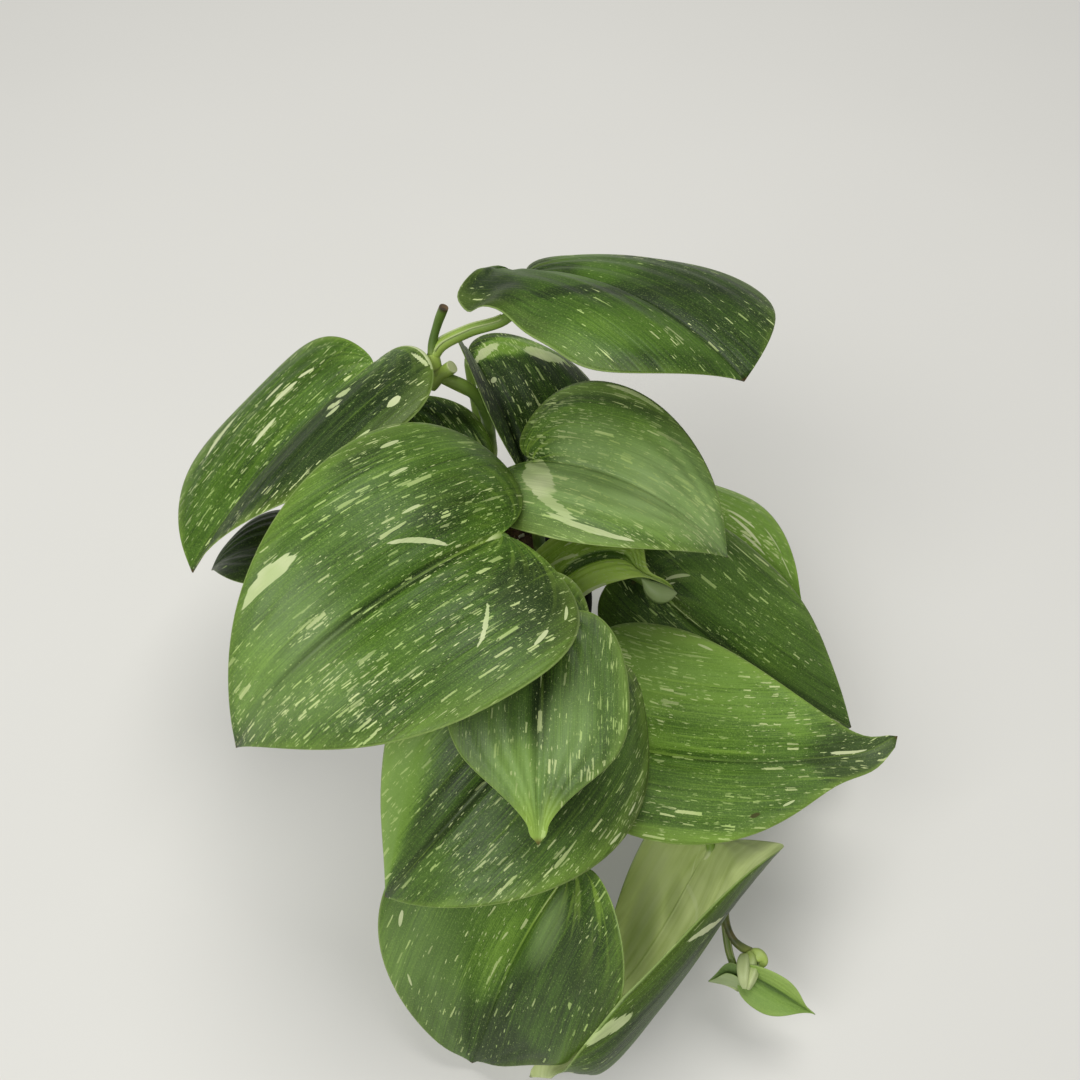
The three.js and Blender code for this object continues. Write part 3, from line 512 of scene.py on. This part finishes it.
def leaf_under(name, base, vein, shades=()):
    """The underside. Shades are as in LOOKS: painted light and shade, and the leaf's own tone."""
    n = Nodes(name)
    s, v, across = n.attribute("vein")
    along = s * 100
    stripes = n.noise(n.point(along / 90, across / 2.2, 3), 3)
    fine = n.noise(n.point(along / 20, across / 0.4, 5))
    shade = stripes * 0.3 + n.grain(45, 3) * 0.7
    colour = n.layered(base, [
        (shade.step(0.36, 0.64), vein),
        (fine.step(0.5, 0.75) * 0.2, vein),
        # Shades: painted light and shade, and the leaf's own tone.
        *((oval(s, v, spot, 0, 1.6) * abs(amount), (212, 222, 170) if amount > 0 else (78, 100, 44))
          for *spot, amount in shades),
        (flecks(n, along, across, 0.08, 5, 1.1, 0, 5) * 0.4, (196, 206, 156)),
    ])
    return n.finish(colour, 0.5, (stripes + fine * 0.2, 0.0004, 0.5))


# Attribute "stem" holds how lime, how brown and how pale a stalk is.
def stem_material(name, low, high):
    n = Nodes(name)
    lime, brown, pale = n.attribute("stem")
    streak = n.grain(260, 4, 0.6)
    dry = n.mix(streak.step(0.4, 0.6), (50, 42, 26), (98, 76, 46))
    colour = n.layered(low, [(n.grain(50).step(0.3, 0.7), high), (lime, (168, 192, 88)),
                             (streak.step(0.55, 0.75) * 0.25, (188, 204, 130)), (pale, (206, 214, 160)),
                             (brown, dry)])
    return n.finish(colour, 0.38 + streak * 0.2, (streak, 0.0003, 0.5))


def pot_material():
    n = Nodes("pot_plastic")
    scuff = n.grain(60, 5, 0.7)
    colour = n.mix(scuff.step(0.5, 0.8), (20, 20, 22), (44, 43, 42))
    return n.finish(colour, 0.38 + scuff * 0.25, (n.grain(900, 3, 0.6), 0.0002, 0.3))


def soil_material():
    n = Nodes("potting_mix")
    crumbs, clods = n.grain(420, 6, 0.7), n.grain(110, 4, 0.6)
    colour = n.layered((38, 27, 19), [(clods.step(0.35, 0.7), (82, 60, 42)),
                                      (crumbs.step(0.62, 0.7), (122, 98, 72))])
    return n.finish(colour, 0.95, (clods * 2 + crumbs, 0.0015, 0.9))


def chip_material(name, low, high):
    n = Nodes(name)
    grain = n.grain(600, 5, 0.7)
    return n.finish(n.mix(grain.step(0.35, 0.65), low, high), 0.9, (grain, 0.0006, 0.6))


# Curves and tubes.

def spline(points):
    """A centripetal Catmull-Rom curve: SPLINE_STEPS places in each span, and the length up to each."""
    p = [np.array(q, float) for q in points]
    p = [2 * p[0] - p[1], *p, 2 * p[-1] - p[-2]]
    t = np.linspace(0, 1, SPLINE_STEPS)[:, None]
    places = []
    for a, b, c, d in zip(p, p[1:], p[2:], p[3:]):
        t0, t1, t2 = (max(np.linalg.norm(y - x) ** 0.5, 1e-4) for x, y in ((a, b), (b, c), (c, d)))
        start = ((b - a) / t0 - (c - a) / (t0 + t1) + (c - b) / t1) * t1
        end = ((c - b) / t1 - (d - b) / (t1 + t2) + (d - c) / t2) * t1
        places.append(b + start * t + (3 * (c - b) - 2 * start - end) * t**2
                      + (2 * (b - c) + start + end) * t**3)
    places = np.vstack(places)
    steps = np.linalg.norm(np.diff(places, axis=0), axis=1)
    return places, np.concatenate([[0], np.cumsum(steps)])


def unit(vectors):
    return vectors / np.maximum(np.linalg.norm(vectors, axis=-1, keepdims=True), 1e-12)


def along_spline(points, shares):
    places, lengths = spline(points)
    at = np.asarray(shares) * lengths[-1]
    return np.stack([np.interp(at, lengths, places[:, k]) for k in range(3)], 1)


def strips(rows, sides, closed=True):
    """Quads between rows of vertices. A closed row runs back to its first vertex."""
    faces = []
    for low in range(0, (rows - 1) * sides, sides):
        for j in range(sides if closed else sides - 1):
            k = (j + 1) % sides
            faces.append((low + j, low + k, low + sides + k, low + sides + j))
    return faces


def tube(points, radius_at, steps, sides, ridges=0):
    """Vertices and faces of a closed tube. radius_at takes the share of the length."""
    shares = np.linspace(0, 1, steps + 1)
    centres = along_spline(points, shares)
    ahead = unit(np.gradient(centres, axis=0))
    side = np.cross(ahead[0], TUBE_SIDE)
    turn = np.linspace(0, math.tau, sides, endpoint=False)
    uneven = (1 + ridges * np.cos(4 * turn))[:, None]
    vertices = []
    for centre, forward, share in zip(centres, ahead, shares):
        side = unit(side - forward * np.dot(side, forward))
        ring = np.outer(np.cos(turn), side) + np.outer(np.sin(turn), np.cross(forward, side))
        vertices.append(centre + radius_at(share) * ring * uneven)
    vertices = np.vstack([*vertices, centres[:1], centres[-1:]])
    first, last, end = len(vertices) - 2, len(vertices) - 1, steps * sides
    faces = strips(steps + 1, sides)
    for j in range(sides):
        k = (j + 1) % sides
        faces += [(first, k, j), (last, end + j, end + k)]
    return vertices, faces


def tube_shares(steps, sides):
    """The share of the length at each vertex of a tube."""
    return np.concatenate([np.repeat(np.linspace(0, 1, steps + 1), sides), [0, 1]])


def paint(shares, spots):
    """Lime, brown and pale along a stalk. Each spot is a place, a half length and the three amounts."""
    stem = np.zeros((len(shares), 3))
    for place, half_length, *amounts in spots:
        near = np.exp(-((shares - place) / half_length)**2)
        stem = np.maximum(stem, near[:, None] * amounts)
    return stem


def joined(parts):
    """The vertices and faces of all the parts as one pair."""
    vertices, faces = np.zeros((0, 3)), []
    for more, more_faces in parts:
        faces += [tuple(c + len(vertices) for c in face) for face in more_faces]
        vertices = np.vstack([vertices, more])
    return vertices, faces


def linked(name, data):
    made = bpy.data.objects.new(name, data)
    bpy.context.scene.collection.objects.link(made)
    return made


def mesh_object(name, vertices, faces, materials, face_materials=()):
    mesh = bpy.data.meshes.new(name)
    mesh.from_pydata((np.asarray(vertices) * MM).tolist(), [], faces)
    for material in materials:
        mesh.materials.append(material)
    if face_materials:
        mesh.polygons.foreach_set("material_index", face_materials)
    mesh.polygons.foreach_set("use_smooth", [True] * len(faces))
    mesh.update()
    return linked(name, mesh)


def vector_attribute(made, name, values):
    attribute = made.data.attributes.new(name, "FLOAT_VECTOR", "POINT")
    attribute.data.foreach_set("vector", np.asarray(values, np.float32).ravel())


# Blades.

def bezier(a, b, c, d, count):
    t = np.linspace(0, 1, count + 1)[:, None]
    return (1 - t)**3 * a + 3 * (1 - t)**2 * t * b + 3 * (1 - t) * t**2 * c + t**3 * d


def half_outline(leaf, look, side):
    """One half's margin, as millimetres along and across, from the sinus around the lobe to the tip."""
    shape = leaf.left if side > 0 else leaf.right
    length, width = leaf.length, shape.width
    back, middle = -shape.lobe * length, shape.widest * length
    lobe = bezier((0, 0), (back, OUTLINE.lobe_start * width), (OUTLINE.lobe_round * back, width),
                  (middle, width), BLADE.rows)
    run = bezier((middle, width), (lerp(middle, length, OUTLINE.shoulder), width),
                 (OUTLINE.tip_pull * length, leaf.taper * width), (length, 0), BLADE.rows)
    outline = np.vstack([lobe, run[1:]])
    outline[:, 1] *= 1 - look.drip * smooth(*OUTLINE.drip, outline[:, 0] / length)
    s = np.linspace(0, 1, len(outline))
    for trimmed, place, half_length, share in look.trims:
        if trimmed == side:
            outline[:, 1] *= 1 - share * np.exp(-((100 * s - place) / half_length)**2)
    return outline


def frames(leaf, along):
    """The midrib's direction, the blade's left and the blade's up at each distance along it."""
    tau = np.clip(np.asarray(along, float) / leaf.length, *BLADE.tau)
    heading, pitch, roll = (np.radians(lerp(*angle, tau)) for angle in (leaf.heading, leaf.pitch, leaf.roll))
    ahead = np.stack([np.cos(heading) * np.cos(pitch), np.sin(heading) * np.cos(pitch), np.sin(pitch)], -1)
    level = np.stack([-np.sin(heading), np.cos(heading), np.zeros_like(heading)], -1)
    upright = np.cross(ahead, level)
    left = level * np.cos(roll)[..., None] + upright * np.sin(roll)[..., None]
    return ahead, left, np.cross(ahead, left)


def midrib(leaf, along):
    """Places on the midrib, by summing up its direction in short steps both ways from the base."""
    step = BLADE.step
    backs = np.arange(0, BLADE.reach * leaf.length, step)
    fore = np.cumsum(frames(leaf, backs + step / 2)[0], axis=0) * step
    rear = np.cumsum(frames(leaf, -backs - step / 2)[0], axis=0) * -step
    track = np.vstack([rear[::-1], np.zeros(3), fore])
    at = np.concatenate([-backs[::-1] - step, [0], backs + step])
    return np.stack([np.interp(along, at, track[:, k]) for k in range(3)], -1) + leaf.base


def bend(leaf, along, across, side):
    """Places on one half, which runs from the midrib in an arc whose slope changes evenly."""
    shape = leaf.left if side > 0 else leaf.right
    inner, outer = math.radians(shape.inner), math.radians(shape.outer)
    turn = (outer - inner) / shape.width
    slope = inner + turn * across
    out = (np.sin(slope) - math.sin(inner)) / turn
    rise = (math.cos(inner) - np.cos(slope)) / turn
    _, left, up = frames(leaf, along)
    return midrib(leaf, along) + left * (side * out)[..., None] + up * rise[..., None]


def blade_grid(leaf, look):
    """s of the rows, v of the columns, and the place and millimetres across of each point."""
    even = np.linspace(1, -1, 2 * BLADE.columns + 1)
    v = np.sign(even) * np.abs(even) ** BLADE.column_ease
    s = np.linspace(0, 1, 2 * BLADE.rows + 1)
    rib = leaf.length * s ** BLADE.midrib_ease
    place = np.zeros((len(s), len(v), 3))
    across = np.zeros((len(s), len(v)))
    for side, pick in ((1, v >= 0), (-1, v < 0)):
        outline = half_outline(leaf, look, side)
        share = np.abs(v[pick])[None, :]
        along = rib[:, None] * (1 - share) + outline[:, :1] * share
        across[:, pick] = outline[:, 1:] * share
        place[:, pick] = bend(leaf, along, across[:, pick], side)
    for s0, v0, half_s, half_v, *shift in look.moves:
        share = np.exp(-((100 * s[:, None] - s0) / half_s)**2 - ((100 * v[None, :] - v0) / half_v)**2)
        place += share[..., None] * shift
    return s, v, place, across


def grid_normals(vertices, faces):
    corners = np.array([(*face, face[-1])[:4] for face in faces])
    a, b, c = (vertices[corners[:, k]] for k in range(3))
    face_normals = np.cross(b - a, c - a)
    normals = np.zeros_like(vertices)
    for k in range(4):
        np.add.at(normals, corners[:, k], face_normals)
    return unit(normals)


def blade_size(leaf):
    """1, or less for a leaf too short for full creases and pleats."""
    return min(1, leaf.length / RELIEF.full_length)


def crease_depth(leaf, look, s):
    return look.crease * blade_size(leaf) * smooth(1, 0.8, s) * smooth(0, 0.1, s)


def relief(leaf, look, s, v, across):
    """How far the blade's middle surface rises: a crease along the midrib, pleats and a wavy margin."""
    s, v = s[:, None], v[None, :]
    turn, start = math.tau, leaf.length
    crease = crease_depth(leaf, look, s) * np.exp(-np.abs(across) / RELIEF.crease_width)
    pleats = np.cos(np.abs(v) * turn * RELIEF.pleats + start) * smooth(0, 0.25, s) * smooth(1, 0.7, s)
    wave = np.sin(s * turn * RELIEF.waves + start + 2 * np.sign(v)) * np.abs(v) ** 3
    wave = wave * smooth(0, 0.2, s) * smooth(1, 0.8, s)
    rise = RELIEF.pleat_height * pleats * (1 - v ** 4) + RELIEF.wave_height * wave
    return rise * blade_size(leaf) - crease


def sheet(middle, normals, half_thick, faces, loop):
    """A thin sheet around a middle surface: front, walls along the loop, and back."""
    count = len(middle)
    back = [tuple(c + count for c in reversed(face)) for face in faces]
    walls = [(b, a, a + count, b + count) for a, b in zip(loop, loop[1:] + loop[:1])]
    vertices = np.vstack([middle + normals * half_thick, middle - normals * half_thick])
    return vertices, faces + walls + back


def curl(upper, lower, swell):
    """A thin scrap between two curves that bulges along swell, and its attribute vein."""
    columns, rows = CURL.columns, CURL.rows
    rims = [along_spline(points, np.linspace(0, 1, columns)) for points in (upper, lower)]
    share = np.linspace(0, 1, rows)[:, None, None]
    bulge = np.sin(np.pi * share) * np.sin(np.pi * np.linspace(0, 1, columns))[None, :, None]
    grid = rims[0] * (1 - share) + rims[1] * share + bulge * swell
    middle = grid.reshape(-1, 3)
    faces = strips(rows, columns, closed=False)
    order = np.arange(len(middle)).reshape(rows, columns)
    loop = np.concatenate([order[0], order[1:, -1], order[-1, -2::-1], order[-2:0:-1, 0]]).tolist()
    across = 4 * share.repeat(columns, 1).ravel()
    vein = np.stack([0.5 + 0 * across, 0.4 + 0 * across, across], 1)
    made = sheet(middle, grid_normals(middle, faces), CURL.thickness / 2, faces, loop)
    return made, np.vstack([vein, vein])


def petiole_tubes(leaf, look):
    """The petiole, from inside its vine to a ridge under the midrib, its wings, and attribute stem."""
    girth, via = leaf.petiole.girth, leaf.petiole.via
    start = along_spline(VINES[leaf.petiole.vine].points, [leaf.petiole.at])[0]

    def under(share, below, ridge=1.0):
        along = share * leaf.length
        deep = below * girth * ridge + crease_depth(leaf, look, share ** (1 / BLADE.midrib_ease))
        return midrib(leaf, along) - frames(leaf, along)[2] * deep

    points = [start, *via, under(0, PETIOLE.below_base),
              *(under(share, below, look.ridge) for share, below in PETIOLE.ridge)]
    lengths = spline(points)[1]
    to_base = lengths[SPLINE_STEPS * (len(via) + 1) - 1] / lengths[-1]

    def radius_at(share):
        if share < to_base:
            return girth * lerp(PETIOLE.root, PETIOLE.radius, share / to_base)
        beyond = (share - to_base) / (1 - to_base)
        flat = lerp(1, look.ridge, min(1, beyond * 5))
        return girth * flat * lerp(PETIOLE.radius, PETIOLE.end, min(1, beyond * 1.6) ** 0.6)

    parts = [tube(points, radius_at, PETIOLE.steps, PETIOLE.sides)]
    shares = tube_shares(PETIOLE.steps, PETIOLE.sides)
    on_blade = smooth(to_base, to_base + 0.03, shares)
    pale = 0.55 if look.ridge == 1 else 0.95
    stems = [np.stack([0.75 * smooth(0.3, 0, shares), look.stalk_brown * (1 - on_blade),
                       pale * on_blade], 1)]
    ride = np.linspace(WING.start * to_base, WING.end * to_base, WING.places)
    centres = along_spline(points, ride)
    ahead = np.gradient(centres, axis=0)
    side = unit(np.cross(ahead, (0, 0, 1.0)))
    up = unit(np.cross(side, ahead))
    reach = np.array([radius_at(share) for share in ride])[:, None]
    for lean in (-1, 1):
        track = centres + reach * (WING.up * up + WING.out * lean * side)
        parts.append(tube(track, lambda share: WING.radius * girth * (1 - 0.4 * share), 30, 8))
        stems.append(np.tile([0.3, look.stalk_brown, 0.45], (len(parts[-1][0]), 1)))
    return parts, np.vstack(stems)


def leaf_piece(name, leaf, look, materials):
    s, v, place, across = blade_grid(leaf, look)
    rows, wide = place.shape[:2]

    def flat(grid):
        """The grid's points in a row. Its first and its last row are one point each."""
        grid = grid * np.ones((rows, wide) + (1,) * (grid.ndim - 2))
        return np.concatenate([grid[:1, wide // 2], grid[1:-1].reshape(-1, *grid.shape[2:]),
                               grid[-1:, wide // 2]])

    def at(corner):
        return min(max(corner + 1 - wide, 0), (rows - 2) * wide + 1)

    faces = [tuple(dict.fromkeys(at(c) for c in quad)) for quad in strips(rows, wide, closed=False)]
    loop = [at(i * wide) for i in reversed(range(rows))]
    loop += [at((i + 1) * wide - 1) for i in range(1, rows - 1)]
    middle = flat(place)
    normals = grid_normals(middle, faces)
    middle = middle + normals * flat(relief(leaf, look, s, v, across))[:, None]
    half_thick = BLADE.thickness / 2 * flat(1 - BLADE.thin_edge * np.abs(v[None, :]) ** 6)[:, None]
    parts = [sheet(middle, normals, half_thick, faces, loop)]
    kinds = [0] * (len(parts[0][1]) - len(faces)) + [1] * len(faces)
    vein = np.stack([flat(s[:, None]), flat(v[None, :]), flat(across * np.sign(v)[None, :])], 1)
    veins = [vein, vein]
    if name == "leaf_08":
        tip, tip_vein = curl(**LEAF_08_TIP)
        parts.append(tip)
        kinds += [1] * len(tip[1])
        veins.append(tip_vein)
    tubes, stem = petiole_tubes(leaf, look)
    vertices, faces = joined(parts + tubes)
    kinds += [2] * (len(faces) - len(kinds))
    blade_count = len(vertices) - len(stem)
    made = mesh_object(name + "_fine", vertices, faces, materials, kinds)
    vector_attribute(made, "vein", np.vstack([*veins, np.zeros((len(stem), 3))]))
    vector_attribute(made, "stem", np.vstack([np.zeros((blade_count, 3)), stem]))
    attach(made, "root")
    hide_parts(name)


# Vines and the bud.

def vine_piece(name, vine, material):
    def radius_at(share):
        swell = sum(math.exp(-((share - node) / VINE.swell_length)**2) for node in vine.nodes)
        thinning = vine.thinning * float(smooth(VINE.thins_from, 1, share))
        return vine.radius * (1 + VINE.swell * swell - thinning)

    parts = [tube(vine.points, radius_at, VINE.steps, VINE.sides)]
    spots = [(node, 0.035, 0.55, 0, 0) for node in vine.nodes]
    spots += [(node - 0.02, 0.004, 0, 0.6, 0) for node in vine.nodes]
    stems = [paint(tube_shares(VINE.steps, VINE.sides), [*spots, *vine.spots])]
    for radius, points, branch_spots in vine.branches:
        parts.append(tube(points, lambda share: radius * (1 + 0.06 * math.sin(9 * share)), 36, 16))
        stems.append(paint(tube_shares(36, 16), branch_spots))
    made = mesh_object(name + "_fine", *joined(parts), [material])
    vector_attribute(made, "stem", np.vstack(stems))
    made.data.set_sharp_from_angle(angle=math.radians(50))
    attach(made, "root")
    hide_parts(name)


def bud_piece(material):
    parts, stems = [], []
    for points, radius, ridges, spots in BUD_TUBES:
        def radius_at(share):
            return 0.4 + (radius - 0.4) * math.sin(math.pi * min(1, 0.1 + 0.86 * share) ** 0.85) ** 0.7

        parts.append(tube(points, radius_at, 40, 20, ridges))
        stems.append(paint(tube_shares(40, 20), spots))
    made = mesh_object("bud_fine", *joined(parts), [material])
    vector_attribute(made, "stem", np.vstack(stems))
    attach(made, "root")
    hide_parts("bud")


# Pot and soil.

def pot_radius(height):
    return lerp(POT.base, POT.rim - POT.step, height / POT.height)


def circle(radius, turn):
    return radius * math.cos(turn), radius * math.sin(turn)


def lathe(profile, sides, centre=(0, 0)):
    """A closed solid: rings of the profile's radii and heights, and the first and the last ring filled."""
    turn = np.linspace(0, math.tau, sides, endpoint=False)
    vertices = [(centre[0] + x, centre[1] + y, z)
                for radius, z in profile for x, y in (circle(radius, angle) for angle in turn)]
    last = (len(profile) - 1) * sides
    caps = [tuple(reversed(range(sides))), tuple(range(last, last + sides))]
    return vertices, strips(len(profile), sides) + caps


def drill_holes(pot):
    bpy.context.view_layer.objects.active = pot
    for i in range(DRAIN.holes):
        turn = math.tau * i / DRAIN.holes
        hole = lathe([(DRAIN.radius, -4), (DRAIN.radius, 6)], 32, circle(DRAIN.circle, turn))
        drill = mesh_object("drill", *hole, [])
        cut = pot.modifiers.new("cut", "BOOLEAN")
        cut.operation, cut.object, cut.solver = "DIFFERENCE", drill, "EXACT"
        bpy.ops.object.modifier_apply(modifier="cut")
        bpy.data.objects.remove(drill)


def pot_piece(material):
    base, rim, top, edge, soft = POT.base, POT.rim, POT.height, POT.edge, POT.soft
    foot = top - POT.band
    inside = rim - POT.wall - POT.lip
    profile = [(POT.core, 0), (base - edge, 0), (base - soft, soft), (base, edge)]
    profile += [(pot_radius(z), z) for z in np.linspace(3, foot - soft, 12)]
    profile += [(pot_radius(foot) + soft, foot), (rim - 1, foot + 0.2), (rim - 0.5, foot + 0.9),
                (rim, top - edge), (rim - soft, top - soft), (rim - 1.1, top),
                (inside + soft, top - 0.2), (inside, top - 0.8), (inside, foot + POT.step + POT.lip),
                *((pot_radius(z) - POT.wall, z) for z in (foot, POT.floor)), (POT.core, POT.floor)]
    pot = mesh_object("pot_fine", *lathe(profile, POT.sides), [material])
    drill_holes(pot)
    pot.data.set_sharp_from_angle(angle=math.radians(35))
    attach(pot, "root")
    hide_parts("pot")


def soil_height(x, y):
    lump = (math.sin(0.35 * x + 1.2) * math.cos(0.31 * y) + 0.6 * math.sin(0.8 * x - 0.7 * y)) / 1.6
    fine = math.sin(1.9 * x + 0.7) * math.sin(2.3 * y) + 0.7 * math.sin(3.7 * x - 2.9 * y)
    return SOIL.top + SOIL.lumps * lump + SOIL.crumbs * fine


def soil_block(radius):
    """The uneven top in rings around a middle point, then the wall and the foot."""
    rings, sides = SOIL.rings, SOIL.sides
    foot = POT.floor + SOIL.gap
    small = pot_radius(foot) - POT.wall - SOIL.gap
    turns = [math.tau * j / sides for j in range(sides)]
    places = [circle(radius * ring / rings, turn) for ring in range(1, rings + 1) for turn in turns]
    vertices = [(*place, soil_height(*place)) for place in [(0, 0), *places]]
    vertices += [(*circle(small, turn), foot) for turn in turns]
    faces = [(0, 1 + j, 1 + (j + 1) % sides) for j in range(sides)]
    faces += [(1 + a, 1 + d, 1 + c, 1 + b) for a, b, c, d in strips(rings + 1, sides)]
    base = 1 + rings * sides
    return vertices, [*faces, tuple(reversed(range(base, base + sides)))]


def soil_chip(draw, radius):
    """Vertices and material of an uneven brick of bark or perlite, sunk into the top."""
    turn, out = draw.uniform(0, math.tau), math.sqrt(draw.random()) * (radius - 2)
    x, y = circle(out, turn)
    kind = BARK if draw.random() < CHIPS.bark_share else PERLITE
    size = [draw.uniform(*CHIPS.size) * (1.0 if kind == BARK else CHIPS.perlite_size) for _ in range(3)]
    size[2] *= CHIPS.flatness
    along, aside = circle(1, draw.uniform(0, math.pi))
    vertices = []
    for corner in CHIP_CORNERS:
        cx, cy, cz = (c * e * draw.uniform(*CHIPS.uneven) for c, e in zip(corner, size))
        vertices.append((x + cx * along - cy * aside, y + cx * aside + cy * along,
                         soil_height(x, y) + 0.25 * size[2] + cz))
    return vertices, kind


def soil_piece(materials):
    radius = pot_radius(SOIL.top) - POT.wall - 0.1
    parts = [soil_block(radius)]
    kinds = [0] * len(parts[0][1])
    draw = random.Random(7)
    brick = [(0, 3, 2, 1), (4, 5, 6, 7), *strips(2, 4)]
    for _ in range(CHIPS.count):
        vertices, kind = soil_chip(draw, radius)
        parts.append((vertices, brick))
        kinds += [kind] * len(brick)
    soil = mesh_object("soil_fine", *joined(parts), materials, kinds)
    soil.data.set_sharp_from_angle(angle=math.radians(50))
    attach(soil, "root")
    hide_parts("soil")


# Stage.

def camera():
    data = bpy.data.cameras.new("camera")
    data.sensor_width = 36
    data.lens = data.sensor_width * FOCAL_PX / IMAGE
    data.clip_end = 20
    made = linked("camera", data)
    made.location = Vector(CAMERA_PLACE) * MM
    made.rotation_euler = (math.radians(90 - CAMERA_DOWN), 0, 0)
    bpy.context.scene.camera = made


def area_light(name, place, size, watts, colour):
    """A light that shines on the leaves. Its place and size are metres."""
    data = bpy.data.lights.new(name, "AREA")
    data.shape, data.size, data.size_y = "RECTANGLE", *size
    data.energy, data.color = watts, colour
    made = linked(name, data)
    made.location = place
    made.rotation_euler = (Vector(LIT_PLACE) - Vector(place)).to_track_quat("-Z", "Y").to_euler()


def stage():
    n = Nodes("table")
    n.finish(n.mix(n.grain(3, 3), (194, 193, 188), (202, 201, 196)), 0.6, Emission_Strength=0.14)
    n.shader.inputs["Emission Color"].default_value = (1, 0.99, 0.96, 1)
    corners = [(-FLOOR, -FLOOR, 0), (FLOOR, -FLOOR, 0), (FLOOR, FLOOR, 0), (-FLOOR, FLOOR, 0)]
    floor = mesh_object("floor", corners, [(0, 1, 2, 3)], [n.material])
    bpy.context.scene.view_settings.view_transform = "Standard"
    world = bpy.context.scene.world = bpy.data.worlds.new("world")
    world.use_nodes = True
    colour, strength = world.node_tree.nodes["Background"].inputs[:2]
    colour.default_value = (0.97, 0.98, 1, 1)
    strength.default_value = 0.2
    area_light("overhead", (0.15, 0.45, 1.5), (0.9, 0.7), 13, (1, 0.99, 0.96))
    area_light("front", (-0.75, -0.85, 1.35), (1.3, 1.0), 19, (1, 1, 0.98))


def main():
    camera()
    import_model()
    stage()
    under = leaf_under("leaf_under", (142, 162, 92), (186, 202, 136))
    young_under = leaf_under("young_leaf_under", (146, 166, 108), (170, 188, 132))
    stem = stem_material("petiole", (104, 138, 52), (136, 164, 72))
    vine = stem_material("vine", (70, 96, 34), (100, 128, 48))
    # A brighter copy of the underside, painting the light on leaf_15's open underside.
    painted_light_under = leaf_under("leaf_15_under_painted_light", (176, 192, 118), (206, 218, 154), UNDER_TONE_AND_LIGHT_SHADES)
    for number, (name, leaf) in enumerate(LEAVES.items()):
        look = LOOKS[name]
        back = painted_light_under if name == "leaf_15" else young_under if look.young else under
        leaf_piece(name, leaf, look, [leaf_top(name, leaf, look, 10 * number), back, stem])
    for name, shape in VINES.items():
        vine_piece(name, shape, vine)
    bud_piece(stem_material("bud_green", (138, 160, 96), (166, 184, 122)))
    pot_piece(pot_material())
    soil_piece([soil_material(), chip_material("bark", (70, 44, 28), (112, 76, 50)),
                chip_material("perlite", (170, 166, 156), (214, 210, 200))])


main()
